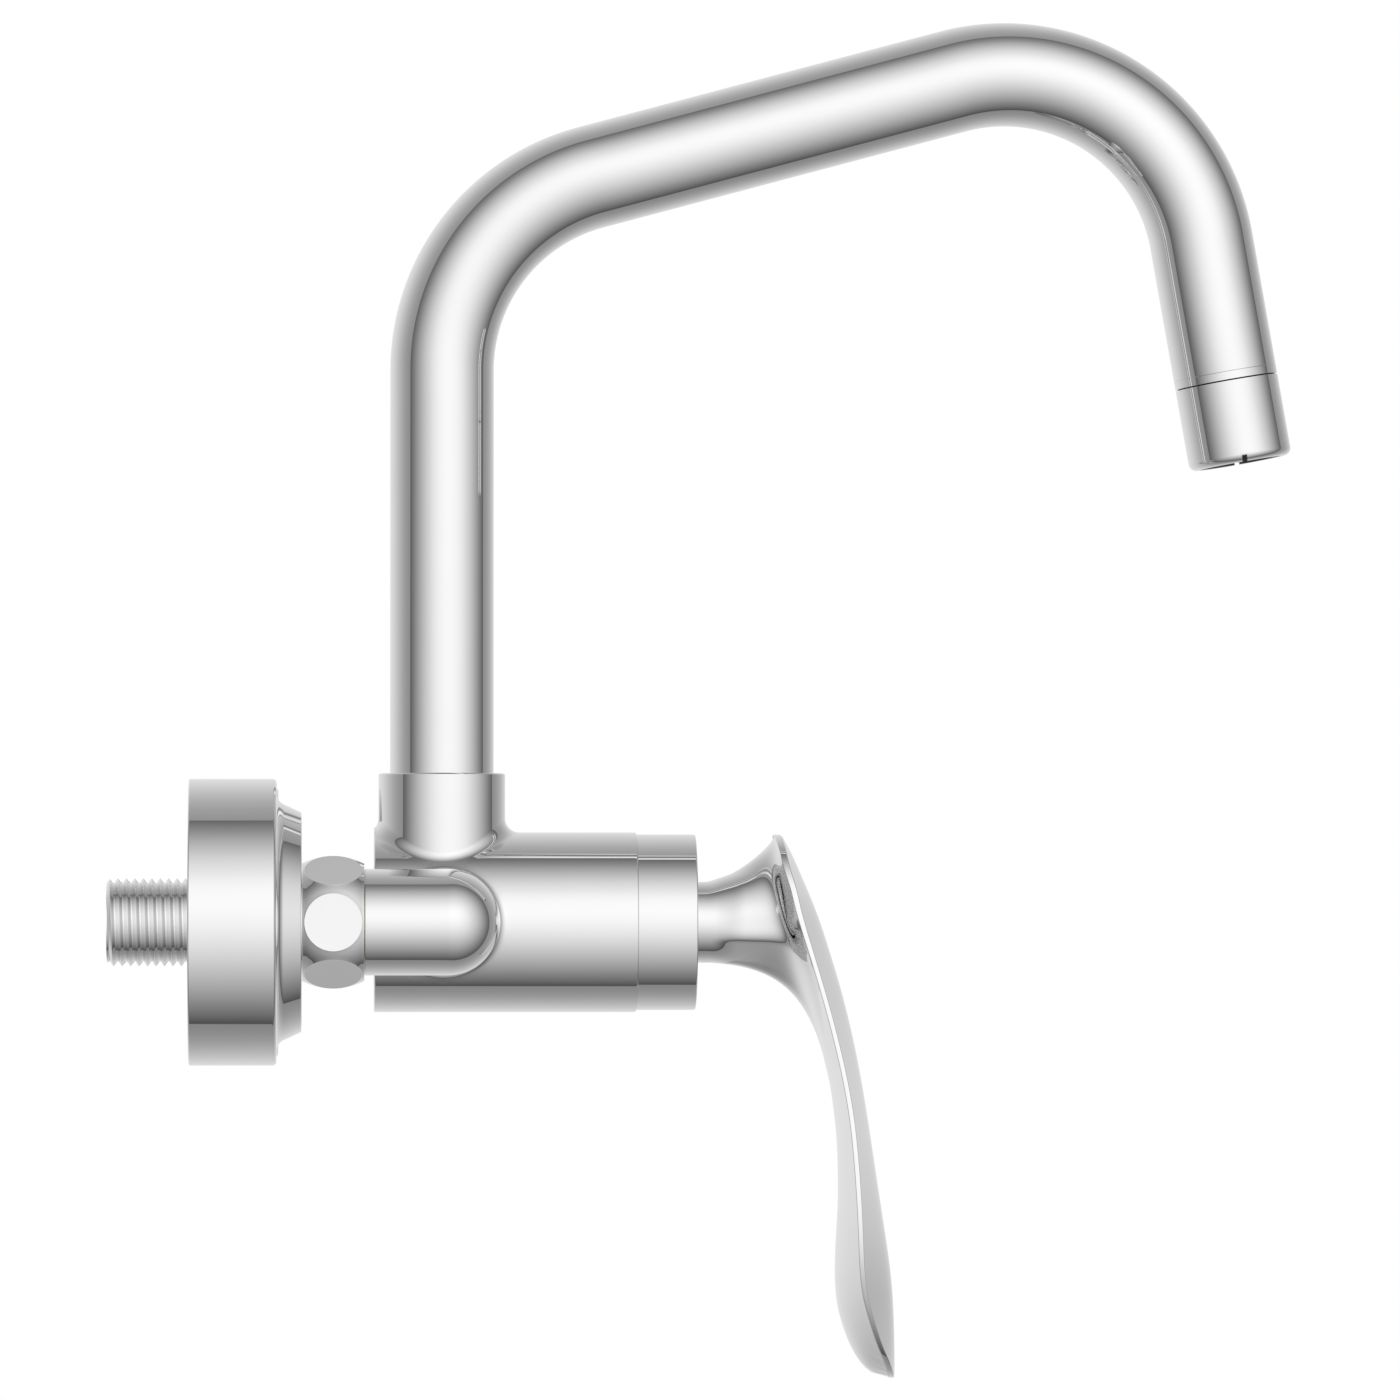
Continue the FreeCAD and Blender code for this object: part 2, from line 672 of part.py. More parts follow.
def cartridge_housing():
    inner = "(cartridge_radius - cartridge_wall)"
    neck_bore = "(turret_neck_radius + running_gap)"
    neck_top = "(lever_pivot + housing_neck_over_pivot)"
    body = turned("cartridge_housing", "XY_Plane", [
        (inner, BASE_TOP),
        ("cartridge_radius", BASE_TOP),
        ("cartridge_radius", HOUSING_TOP),
        ("housing_neck_radius", HOUSING_TOP),
        ("housing_neck_radius", neck_top),
        (neck_bore, neck_top),
        (neck_bore, HOUSING_STEP),
        (inner, HOUSING_STEP),
    ])
    place(body)
    finished("cartridge_housing", body)


def port_places():
    """Across, height and radius of the two inlet ports and the outlet port."""
    return [
        ("-port_spread", "-port_drop", "port_radius"),
        ("port_spread", "-port_drop", "port_radius"),
        ("0", "outlet_port_height", "outlet_port_radius"),
    ]


def drill_ports(body, name, start, length):
    for number, (across, height, radius) in enumerate(port_places()):
        drilled(body, f"{name}_port_{number}", radius, length, (across, start, height), FORWARD)


def cartridge_base():
    """Base plate with port seal recesses, gasket recess, disc upstand and locating pins."""
    disc_room = "(fixed_disc_radius + running_gap)"
    gasket_room = "(gasket_radius + 2 * running_gap)"
    upstand = "(cartridge_radius - cartridge_wall - 2 * running_gap)"
    body = turned("cartridge_base", "XY_Plane", [
        ("0", "cartridge_seat"),
        ("cartridge_radius", "cartridge_seat"),
        ("cartridge_radius", BASE_TOP),
        (upstand, BASE_TOP),
        (upstand, f"{BASE_TOP} + base_upstand"),
        (disc_room, f"{BASE_TOP} + base_upstand"),
        (disc_room, BASE_TOP),
        (gasket_room, BASE_TOP),
        (gasket_room, f"{BASE_TOP} - gasket_thickness"),
        ("0", f"{BASE_TOP} - gasket_thickness"),
    ])
    for side, sign in (("left", "-"), ("right", "")):
        solid_tool(body, "AdditiveCylinder", f"locating_pin_{side}",
                   {"Radius": "locating_pin_radius", "Height": "locating_pin_length + base_thickness / 2"},
                   (f"{sign}locating_pin_spread", "cartridge_seat - locating_pin_length",
                    "locating_pin_height"), FORWARD)
    drill_ports(body, "base", "cartridge_seat", "base_thickness")
    for number, (across, height, radius) in enumerate(port_places()):
        drilled(body, f"seal_recess_{number}", f"{radius} + port_seal_width + running_gap",
                "port_seal_thickness", (across, "cartridge_seat", height), FORWARD)
    place(body)
    finished("cartridge_base", body)


def port_seals():
    body = new_body("port_seals")
    sketch = sketch_on(body, "XZ_Plane", "port_seals_profile")
    for across, height, radius in port_places():
        circle_in(sketch, across, height, f"{radius} + port_seal_width")
        circle_in(sketch, across, height, radius)
    pad = body.newObject("PartDesign::Pad", "port_seals_pad")
    pad.Profile = sketch
    pad.setExpression("Length", bound("port_seal_thickness"))
    pad.Reversed = True
    place(body, reach="cartridge_seat")
    finished("port_seals", body)


def disc_gasket():
    body = turned("disc_gasket", "XY_Plane", [
        ("0", f"{BASE_TOP} - gasket_thickness"),
        ("gasket_radius", f"{BASE_TOP} - gasket_thickness"),
        ("gasket_radius", BASE_TOP),
        ("0", BASE_TOP),
    ])
    drill_ports(body, "gasket", f"{BASE_TOP} - gasket_thickness", "gasket_thickness")
    place(body)
    finished("disc_gasket", body)


def fixed_disc():
    body = turned("fixed_disc", "XY_Plane", [
        ("0", BASE_TOP),
        ("fixed_disc_radius", BASE_TOP),
        ("fixed_disc_radius", FIXED_TOP),
        ("0", FIXED_TOP),
    ])
    drill_ports(body, "fixed_disc", BASE_TOP, "disc_thickness")
    place(body)
    finished("fixed_disc", body)


def moving_disc():
    """Disc whose recess joins the ports when the lever is lifted; its axis is the spindle ball's."""
    body = turned("moving_disc", "XY_Plane", [
        ("0", FIXED_TOP),
        ("moving_disc_radius", FIXED_TOP),
        ("moving_disc_radius", MOVING_TOP),
        ("0", MOVING_TOP),
    ])
    doc.recompute()
    recess = sketch_on(body, "XZ_Plane", "mixing_recess", f"-{FIXED_TOP}")
    floor = f"(loose_gap + port_radius - port_drop - {BALL_RISE})"
    outline(recess, [
        ("-moving_disc_radius * 0.55", floor),
        ("moving_disc_radius * 0.55", floor),
        ("moving_disc_radius * 0.3", "moving_disc_radius * 0.8"),
        ("-moving_disc_radius * 0.3", "moving_disc_radius * 0.8"),
    ])
    bored(body, "mixing_recess_cut", recess, "2 * mixing_recess")
    place(body, height=BALL_RISE)
    finished("moving_disc", body)


def disc_carrier():
    hub_top = f"({CARRIER_TOP} + carrier_hub_length)"
    ball_room = "(spindle_ball_radius + 2 * running_gap)"
    body = turned("disc_carrier", "XY_Plane", [
        ("0", MOVING_TOP),
        ("moving_disc_radius", MOVING_TOP),
        ("moving_disc_radius", CARRIER_TOP),
        ("carrier_hub_radius", CARRIER_TOP),
        ("carrier_hub_radius", hub_top),
        (ball_room, hub_top),
        (ball_room, f"{hub_top} - carrier_bore_depth"),
        ("0", f"{hub_top} - carrier_bore_depth"),
    ])
    place(body, height=BALL_RISE)
    finished("disc_carrier", body)


def turret():
    """Turning part: holds the pin, lets the spindle tilt and guides the carrier."""
    top = "(lever_pivot + turret_top_over_pivot)"
    flange = "(cartridge_radius - cartridge_wall - 2 * running_gap)"
    body = turned("turret", "XY_Plane", [
        ("0", TURRET_BASE),
        (flange, TURRET_BASE),
        (flange, TURRET_STEP),
        ("turret_neck_radius", TURRET_STEP),
        ("turret_neck_radius", top),
        ("0", top),
    ])
    milled(body, "carrier_slot", "2 * (carrier_hub_radius + 2 * running_gap)",
           "carrier_hub_length + 4 * loose_gap",
           f"2 * (carrier_hub_radius + {BALL_RISE} + 3 * running_gap)", ("0", TURRET_BASE, "0"))
    milled(body, "spindle_slot", "spindle_width + 8 * running_gap",
           f"{top} - {TURRET_BASE}", "2 * (spindle_heel * sqrt(2) + running_gap)",
           ("0", TURRET_BASE, "0"))
    drilled(body, "pin_hole", "pivot_pin_radius + running_gap / 2", "2 * turret_neck_radius",
            ("-turret_neck_radius", "lever_pivot", "0"), SIDEWAYS)
    place(body)
    finished("turret", body)


def pivot_pin():
    pin = doc.addObject("Part::Cylinder", "pivot_pin")
    pin.setExpression("Radius", bound("pivot_pin_radius"))
    pin.setExpression("Height", bound("2 * (turret_neck_radius - loose_gap)"))
    place(pin, reach="lever_pivot", side="-(turret_neck_radius - loose_gap)",
          turn=Rotation(UPWARD, SIDEWAYS))
    finished("pivot_pin", pin)


def spindle():
    """Square bar outside, arm and ball inside at half the tilt range, bored for the pin."""
    body = new_body("spindle")
    solid_tool(body, "AdditiveBox", "spindle_bar",
               {"Length": "spindle_width", "Height": "spindle_width",
                "Width": "spindle_heel + spindle_length"},
               ("-spindle_width / 2", "lever_pivot - spindle_heel", "-spindle_width / 2"))
    lean = math.radians(value("tilt_range / 2"))
    solid_tool(body, "AdditiveCylinder", "spindle_inner_arm",
               {"Radius": "spindle_arm_radius", "Height": "spindle_arm"},
               ("0", "lever_pivot", "0"), Vector(0, -math.cos(lean), math.sin(lean)))
    solid_tool(body, "AdditiveSphere", "spindle_ball", {"Radius": "spindle_ball_radius"},
               ("0", BALL_REACH, BALL_RISE))
    drilled(body, "spindle_pin_hole", "pivot_pin_radius + running_gap", "2 * spindle_width",
            ("-spindle_width", "lever_pivot", "0"), SIDEWAYS)
    place(body)
    finished("spindle", body)


def lever_hub():
    """Collar of the stem with the dome skirt that hides the cartridge neck."""
    outer = "hub_skirt_radius"
    inner = "(hub_skirt_radius - hub_skirt_wall)"
    neck_reach = f"(sqrt({outer} * {outer} - stem_radius * stem_radius))"
    face_radius = f"(sqrt({inner} * {inner} - hub_face_over_pivot * hub_face_over_pivot))"
    collar = "(lever_pivot + stem_collar_reach)"
    body = turned("lever_hub", "XY_Plane", [
        ("0", HUB_FACE),
        (face_radius, HUB_FACE, inner, -1),
        (f"{inner} * sin(hub_skirt_angle)", f"lever_pivot + {inner} * cos(hub_skirt_angle)"),
        (f"{outer} * sin(hub_skirt_angle)", f"lever_pivot + {outer} * cos(hub_skirt_angle)", outer, 1),
        ("stem_radius", f"lever_pivot + {neck_reach}"),
        ("stem_radius", collar),
        ("0", collar),
    ])
    return body


def stem_oval(name, top_at, bottom_at, half):
    """Oval between a top and a bottom point of the middle plane, in the plane through both."""
    top_reach, top = top_at
    bottom_reach, bottom = bottom_at
    reach_gain = f"({bottom_reach} - {top_reach})"
    fall = f"({top} + {bottom})"
    rise = f"(sqrt({reach_gain} * {reach_gain} + {fall} * {fall}) / 2)"
    oval = doc.addObject("Part::Ellipse", name)
    oval.setExpression("MajorRadius", bound(f"max({half}; {rise})"))
    oval.setExpression("MinorRadius", bound(f"min({half}; {rise})"))
    middle = f"create(<<vector>>; 0; ({top_reach} + {bottom_reach}) / 2; ({top} - {bottom}) / 2)"
    upright = "create(<<rotation>>; create(<<vector>>; 1; 1; 1); 240)"
    lean = f"create(<<rotation>>; create(<<vector>>; 1; 0; 0); atan({reach_gain} / {fall}))"
    oval.setExpression("Placement", bound(f"create(<<placement>>; {middle}; {lean} * {upright})"))
    return oval


def lever_stem():
    """Loft of ovals that flares from the round collar and leans over into the blade."""
    collar = ("(lever_pivot + stem_collar_reach)", "stem_radius")
    ovals = [stem_oval("stem_start", collar, collar, "stem_radius")]
    for number in range(len(STEM)):
        top_at = (f"({BLADE_BASE} + stem_top_ahead_{number})", f"stem_top_{number}")
        bottom_at = (f"({BLADE_BASE} + stem_bottom_ahead_{number})", f"stem_bottom_{number}")
        ovals.append(stem_oval(f"stem_oval_{number}", top_at, bottom_at, f"stem_half_{number}"))
    loft = doc.addObject("Part::Loft", "lever_stem")
    loft.Sections = ovals
    loft.Solid = True
    return loft


def lever_blade():
    """Leaf with bulged faces and a thin rim, trimmed to a round head at the top."""
    body = new_body("lever_blade")
    sections = []
    for number in range(len(BLADE)):
        half = f"blade_half_{number}"
        back = f"({BLADE_BASE} + blade_ahead_{number} - blade_rim / 2)"
        front = f"({BLADE_BASE} + blade_ahead_{number} + blade_rim / 2)"
        bulges = []
        for face in ("front", "back"):
            bulge = f"blade_{face}_{number}"
            bulges.append(f"(({half} * {half} + {bulge} * {bulge}) / (2 * {bulge}))")
        sketch = sketch_on(body, "XY_Plane", f"blade_section_{number}", f"blade_height_{number}")
        outline(sketch, [
            (f"-{half}", back, bulges[1], 1),
            (half, back),
            (half, front, bulges[0], 1),
            (f"-{half}", front),
        ])
        sections.append(sketch)
    doc.recompute()
    loft = body.newObject("PartDesign::AdditiveLoft", "blade_loft")
    loft.Profile = sections[0]
    loft.Sections = sections[1:]
    doc.recompute()
    trim = sketch_on(body, "XZ_Plane", "blade_head_trim", f"-{BLADE_BASE}")
    corner_reach = "(blade_half_1 - blade_head_corner)"
    head_drop = "(blade_head_radius - sqrt(blade_head_radius * blade_head_radius - {0} * {0}))"
    shoulder = f"(blade_top - {head_drop.format(corner_reach)})"
    outer = "(blade_half_0 * 1.2)"
    upper = "(blade_height_0 * 1.2)"
    side_foot = f"({shoulder} - blade_head_corner)"
    outline(trim, [
        (f"-{outer}", side_foot),
        ("-(blade_half_1)", side_foot, "blade_head_corner", -1),
        (f"-{corner_reach}", shoulder, "blade_head_radius", -1),
        (corner_reach, shoulder, "blade_head_corner", -1),
        ("blade_half_1", side_foot),
        (outer, side_foot),
        (outer, upper),
        (f"-{outer}", upper),
    ])
    bored(body, "blade_head_cut", trim, "3 * blade_head_radius")
    return body


def part_tool(kind, name, sizes, at, axis=UPWARD):
    tool = doc.addObject(kind, name)
    for prop, text in sizes.items():
        tool.setExpression(prop, bound(text))
    tool.Placement = Placement(Vector(0, 0, 0), Rotation(UPWARD, axis))
    for letter, text in zip("xyz", at):
        if text != "0":
            tool.setExpression(f"Placement.Base.{letter}", bound(text))
    return tool


CAP_FACE = "(stem_radius + lever_cap_drop)"
CAP_SEAT = f"({CAP_FACE} - lever_cap_thickness)"


def lever():
    """Hub, stem and blade in one casting, with the spindle socket and the screw hole."""
    casting = doc.addObject("Part::MultiFuse", "lever_casting")
    casting.Shapes = [lever_hub(), lever_stem(), lever_blade()]
    socket_width = "(spindle_width + 2 * running_gap)"
    socket = part_tool("Part::Box", "spindle_socket",
                       {"Length": socket_width, "Height": socket_width,
                        "Width": "spindle_length - hub_face_over_pivot + 2 * loose_gap"},
                       (f"-{socket_width} / 2", f"{HUB_FACE} - loose_gap", f"-{socket_width} / 2"))
    reach = "lever_pivot + lever_screw_reach"
    hole = part_tool("Part::Cylinder", "lever_screw_hole",
                     {"Radius": "lever_screw_radius + thread_gap", "Height": "stem_radius + loose_gap"},
                     ("0", reach, "-(stem_radius + loose_gap)"))
    seat = part_tool("Part::Cylinder", "lever_cap_seat",
                     {"Radius": "lever_cap_radius + running_gap",
                      "Height": "lever_cap_thickness + 4 * loose_gap"},
                     ("0", reach, f"-({CAP_SEAT} + lever_cap_thickness + 4 * loose_gap)"))
    tools = doc.addObject("Part::MultiFuse", "lever_cuts")
    tools.Shapes = [socket, hole, seat]
    cut = doc.addObject("Part::Cut", "lever_cut")
    cut.Base = casting
    cut.Tool = tools
    place(cut)
    finished("lever", cut)


def lever_fasteners():
    tip = "(spindle_width / 2 + running_gap)"
    reach = "(lever_pivot + lever_screw_reach)"
    body = new_body("lever_grub_screw")
    solid_tool(body, "AdditiveCylinder", "lever_grub_shank",
               {"Radius": "lever_screw_radius", "Height": "lever_screw_length"},
               ("0", "0", "0"), UPWARD)
    hex_socket(body, "lever_grub", "lever_screw_radius", "lever_screw_length")
    place(body, reach=reach, height=f"-({tip} + lever_screw_length)")
    finished("lever_grub_screw", body)
    cap = part_tool("Part::Cylinder", "lever_cap_disc",
                    {"Radius": "lever_cap_radius", "Height": "lever_cap_thickness"}, ("0", "0", "0"))
    place(cap, reach=reach, height=f"-{CAP_FACE}")
    finished("lever_screw_cap", cap)


def hex_socket(body, name, radius, length):
    """Hexagon socket half the screw's radius, in its lower end, half its length deep."""
    doc.recompute()
    sketch = sketch_on(body, "XY_Plane", f"{name}_hexagon")
    half = f"({radius} * 0.5)"
    corner = f"({half} / cos(30))"
    outline(sketch, [
        (corner, "0"),
        (f"{corner} / 2", half),
        (f"-{corner} / 2", half),
        (f"-{corner}", "0"),
        (f"-{corner} / 2", f"-{half}"),
        (f"{corner} / 2", f"-{half}"),
    ])
    bored(body, f"{name}_hexagon_cut", sketch, length)


def spout_route(body, name, end_run):
    """Riser, bend, rising run, bend and down-run as one tangent path in the middle plane."""
    path = sketch_on(body, "YZ_Plane", name)
    rise, lean = math.radians(value("spout_rise")), math.radians(value("outlet_lean"))
    radius, run, end = value("bend_radius"), value("spout_run"), value(end_run)
    start = Vector(value("spout_axis"), value(TUBE_START), 0)
    first = Vector(start.x, value("riser_height"), 0)
    centre_one = first + Vector(radius, 0, 0)
    second = centre_one + Vector(-math.sin(rise), math.cos(rise), 0) * radius
    third = second + Vector(math.cos(rise), math.sin(rise), 0) * run
    centre_two = third + Vector(math.sin(rise), -math.cos(rise), 0) * radius
    fourth = centre_two + Vector(math.cos(lean), math.sin(lean), 0) * radius
    fifth = fourth + Vector(math.sin(lean), -math.cos(lean), 0) * end
    flat = Vector(0, 0, 1)
    riser = path.addGeometry(Part.LineSegment(start, first))
    bend_one = path.addGeometry(Part.ArcOfCircle(
        Part.Circle(centre_one, flat, radius), math.pi / 2 + rise, math.pi))
    incline = path.addGeometry(Part.LineSegment(second, third))
    bend_two = path.addGeometry(Part.ArcOfCircle(
        Part.Circle(centre_two, flat, radius), lean, math.pi / 2 + rise))
    drop = path.addGeometry(Part.LineSegment(fourth, fifth))
    fix_point(path, riser, 1, "spout_axis", TUBE_START)
    fix_point(path, riser, 2, "spout_axis", "riser_height")
    for one, one_end, other, other_end in (
            (riser, 2, bend_one, 2), (bend_one, 1, incline, 1),
            (incline, 2, bend_two, 2), (bend_two, 1, drop, 1)):
        path.addConstraint(Sketcher.Constraint("Tangent", one, one_end, other, other_end))
    for kind, edge, text in (
            ("Radius", bend_one, "bend_radius"), ("Radius", bend_two, "bend_radius"),
            ("Distance", incline, "spout_run"), ("Distance", drop, end_run)):
        rule = path.addConstraint(Sketcher.Constraint(kind, edge, value(text)))
        path.setExpression(f"Constraints[{rule}]", bound(text))
    rule = path.addConstraint(Sketcher.Constraint("Angle", incline, rise))
    path.setExpression(f"Constraints[{rule}]", bound("spout_rise * 1 deg"))
    rule = path.addConstraint(Sketcher.Constraint("Angle", drop, lean - math.pi / 2))
    path.setExpression(f"Constraints[{rule}]", bound("(outlet_lean - 90) * 1 deg"))
    return path


def spout_tube():
    body = new_body("spout_tube")
    path = spout_route(body, "spout_path", TUBE_END_RUN)
    ring = sketch_on(body, "XY_Plane", "spout_section", TUBE_START)
    circle_in(ring, "0", "spout_axis", "tube_radius")
    circle_in(ring, "0", "spout_axis", "tube_bore")
    doc.recompute()
    pipe = body.newObject("PartDesign::AdditivePipe", "spout_pipe")
    pipe.Profile = ring
    pipe.Spine = (path, [""])
    place(body)
    finished("spout_tube", body)


def spout_spigot():
    """Spigot pressed into the tube, with two O-ring grooves and a groove for the grub screw."""
    radius = "(socket_bore - running_gap)"
    seat = f"({radius} - oring_groove)"
    corners = [("spigot_bore", f"{TUBE_START} - spigot_length"),
               (radius, f"{TUBE_START} - spigot_length")]
    grooves = [
        ("socket_screw_height - oring_spread", "2 * oring_section + 8 * running_gap", seat),
        ("socket_screw_height", "groove_width", f"({radius} - groove_depth)"),
        ("socket_screw_height + oring_spread", "2 * oring_section + 8 * running_gap", seat),
    ]
    for middle, width, floor in grooves:
        corners += [(radius, f"{middle} - ({width}) / 2"), (floor, f"{middle} - ({width}) / 2"),
                    (floor, f"{middle} + ({width}) / 2"), (radius, f"{middle} + ({width}) / 2")]
    sleeve = "(tube_bore - running_gap)"
    corners += [(radius, TUBE_START), (sleeve, TUBE_START),
                (sleeve, f"{TUBE_START} + spigot_press_length"),
                ("spigot_bore", f"{TUBE_START} + spigot_press_length")]
    body = turned("spout_spigot", "XZ_Plane", corners)
    place(body, reach="spout_axis")
    finished("spout_spigot", body)


def spout_orings():
    rings = []
    for name, height in (("lower", "socket_screw_height - oring_spread"),
                         ("upper", "socket_screw_height + oring_spread")):
        sizes = {"Radius1": "socket_bore - running_gap - oring_section", "Radius2": "oring_section"}
        rings.append(part_tool("Part::Torus", f"oring_{name}", sizes, ("0", "0", height)))
    pair = doc.addObject("Part::Compound", "spout_oring_pair")
    pair.Links = rings
    place(pair, reach="spout_axis")
    finished("spout_orings", pair)


def slip_ring():
    """Plastic ring between tube and socket, with a collar that comes up flush round the tube."""
    body = turned("slip_ring", "XZ_Plane", [
        ("socket_bore + running_gap", SLIP_BASE),
        ("slip_ring_radius", SLIP_BASE),
        ("slip_ring_radius", "socket_top"),
        ("tube_radius + running_gap", "socket_top"),
        ("tube_radius + running_gap", TUBE_START),
        ("socket_bore + running_gap", TUBE_START),
    ])
    place(body, reach="spout_axis")
    finished("slip_ring", body)


def spout_grub_screw():
    """Screw in the rear of the socket; its tip stands in the spigot's groove."""
    body = new_body("spout_grub_screw")
    solid_tool(body, "AdditiveCylinder", "spout_grub_shank",
               {"Radius": "socket_screw_radius", "Height": "socket_screw_length"}, ("0", "0", "0"))
    hex_socket(body, "spout_grub", "socket_screw_radius", "socket_screw_length")
    tip = "(socket_bore - groove_depth / 2)"
    place(body, reach=f"spout_axis - {tip} - socket_screw_length", height="socket_screw_height",
          turn=Rotation(UPWARD, BACKWARD))
    finished("spout_grub_screw", body)


def at_outlet(piece):
    """Place a piece whose own Z axis runs up the down-run from the centre of its end."""
    piece.Placement = Placement(Vector(0, 0, 0), Rotation(Vector(-1, 0, 0), value("outlet_lean")))
    piece.setExpression("Placement.Base.y", bound(f"-{OUTLET_REACH}"))
    piece.setExpression("Placement.Base.z", bound(OUTLET_HEIGHT))


def outlet_ferrule():
    """Brazed end piece: sleeve in the tube, visible band, threaded nipple for the aerator shell."""
    band_top = "(shell_length + ferrule_band)"
    nipple = "(shell_bore - thread_gap)"
    sleeve = "(tube_bore - running_gap)"
    body = turned("outlet_ferrule", "XZ_Plane", [
        ("ferrule_bore", WASHER_TOP),
        (nipple, WASHER_TOP),
        (nipple, "shell_length + shell_joint"),
        ("tube_radius", "shell_length + shell_joint"),
        ("tube_radius", band_top),
        (sleeve, band_top),
        (sleeve, f"{band_top} + ferrule_sleeve"),
        ("ferrule_bore", f"{band_top} + ferrule_sleeve"),
    ])
    at_outlet(body)
    finished("outlet_ferrule", body)


def aerator_shell():
    body = turned("aerator_shell", "XZ_Plane", [
        ("shell_mouth", "0"),
        ("tube_radius - shell_corner", "0", "shell_corner", 1),
        ("tube_radius", "shell_corner"),
        ("tube_radius", "shell_length"),
        ("shell_bore", "shell_length"),
        ("shell_bore", "shell_lip"),
        ("shell_mouth", "shell_lip"),
    ])
    milled(body, "key_notches", "3 * tube_radius", "shell_notch_width", "2 * shell_notch_depth",
           ("0", "-shell_notch_width / 2", "0"))
    at_outlet(body)
    finished("aerator_shell", body)


def aerator_insert():
    """Jet former held by the lip of the shell, with two rings of holes behind a notched rim."""
    nose = "(shell_mouth - 2 * running_gap)"
    flange = "(shell_bore - 2 * running_gap)"
    body = turned("aerator_insert", "XZ_Plane", [
        ("0", "insert_recess"),
        ("insert_bore", "insert_recess"),
        ("insert_bore", "insert_rim"),
        (nose, "insert_rim"),
        (nose, "shell_lip"),
        (flange, "shell_lip"),
        (flange, INSERT_TOP),
        ("0", INSERT_TOP),
    ])
    milled(body, "insert_notches", "3 * tube_radius", "shell_notch_width", "2 * shell_notch_depth",
           ("0", "-shell_notch_width / 2", "0"))
    drilled(body, "insert_middle_hole", "insert_hole_radius", "insert_length",
            ("0", "0", "insert_recess"), UPWARD)
    for name, radius, count in (("outer", "insert_ring_radius", 12), ("inner", "insert_ring_radius / 2", 6)):
        hole = drilled(body, f"insert_{name}_hole", "insert_hole_radius", "insert_length",
                       (radius, "0", "insert_recess"), UPWARD)
        repeated_round(body, hole, f"insert_{name}_holes", "Z_Axis", count)
    at_outlet(body)
    finished("aerator_insert", body)


def aerator_washer():
    rim = "(shell_bore - 4 * running_gap)"
    body = turned("aerator_washer", "XZ_Plane", [
        ("outlet_washer_bore", INSERT_TOP),
        (rim, INSERT_TOP),
        (rim, WASHER_TOP),
        ("outlet_washer_bore", WASHER_TOP),
    ])
    at_outlet(body)
    finished("aerator_washer", body)


def faults():
    """Everything wrong with the document, as plain lines."""
    found = []
    for item in doc.Objects:
        if {"Invalid", "Error"} & set(item.State):
            found.append(f"{item.Name} is {item.State}")
    for cut in CUTS:
        before = cut.BaseFeature.Shape.Volume if cut.BaseFeature else 0
        if cut.Shape.isNull() or cut.Shape.Volume >= before - 1e-6:
            found.append(f"{cut.Name} cuts nothing")
    for part in PARTS:
        if part.Shape.isNull() or not part.Shape.isValid():
            found.append(f"{part.Label} has no valid shape")
    return found


for side, offset in SIDES:
    wall_connector(side, offset)
    escutcheon(side, offset)
    union_nut(side, offset)
    inlet_bush(side, offset)
    union_washer(side, offset)
body_casting()
cover_ring()
cartridge_nut()
cartridge_housing()
cartridge_base()
port_seals()
disc_gasket()
fixed_disc()
moving_disc()
disc_carrier()
turret()
pivot_pin()
spindle()
lever()
lever_fasteners()
spout_tube()
spout_spigot()
spout_orings()
slip_ring()
spout_grub_screw()
outlet_ferrule()
aerator_shell()
aerator_insert()
aerator_washer()
doc.recompute()

problems = faults()
if problems:
    raise RuntimeError("; ".join(problems))
os.makedirs("parts", exist_ok=True)
for part in PARTS:
    part.Shape.exportStep(f"parts/{part.Label}.step")
    solids = len(part.Shape.Solids)
    print(f"{part.Label}: {solids} solid(s), {part.Shape.Volume / 1000:.2f} cm3")
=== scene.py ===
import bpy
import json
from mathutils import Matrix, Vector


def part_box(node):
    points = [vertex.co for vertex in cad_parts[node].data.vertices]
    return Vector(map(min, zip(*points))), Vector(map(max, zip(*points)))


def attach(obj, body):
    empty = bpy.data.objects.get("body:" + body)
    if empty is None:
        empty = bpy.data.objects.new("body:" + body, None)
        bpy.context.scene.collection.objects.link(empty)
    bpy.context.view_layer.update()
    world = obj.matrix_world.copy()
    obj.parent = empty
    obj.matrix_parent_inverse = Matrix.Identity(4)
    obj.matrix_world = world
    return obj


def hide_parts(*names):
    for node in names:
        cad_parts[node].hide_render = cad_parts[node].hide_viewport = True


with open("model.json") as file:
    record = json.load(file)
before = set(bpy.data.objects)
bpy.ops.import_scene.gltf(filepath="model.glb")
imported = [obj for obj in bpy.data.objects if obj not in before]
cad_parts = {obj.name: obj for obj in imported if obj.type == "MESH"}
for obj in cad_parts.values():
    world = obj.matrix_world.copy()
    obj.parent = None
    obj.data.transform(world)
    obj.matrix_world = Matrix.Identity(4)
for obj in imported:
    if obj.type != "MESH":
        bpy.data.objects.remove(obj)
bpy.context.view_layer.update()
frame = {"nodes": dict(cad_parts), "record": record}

import json
import math

import bmesh
import bpy
import numpy as np
from mathutils import Vector
from mathutils.geometry import delaunay_2d_cdt

# Looks of the wall-mounted mixer tap. Sizes are in millimetres in the tap's own terms:
# reach runs forward from the wall (row -Y), height runs up from the inlets (row +Z).

MM = 0.001
WELD = 0.000002
NODES = frame["nodes"]
SLOTS = {entry["node"]: entry["material_slot"] for entry in frame["record"]["subparts"]}


def corner(node, low_or_high, axis):
    """One coordinate of a CAD node's box, in millimetres."""
    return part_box(node)[low_or_high]["xyz".index(axis)] / MM


def half_width(node):
    return (corner(node, 1, "x") - corner(node, 0, "x")) / 2


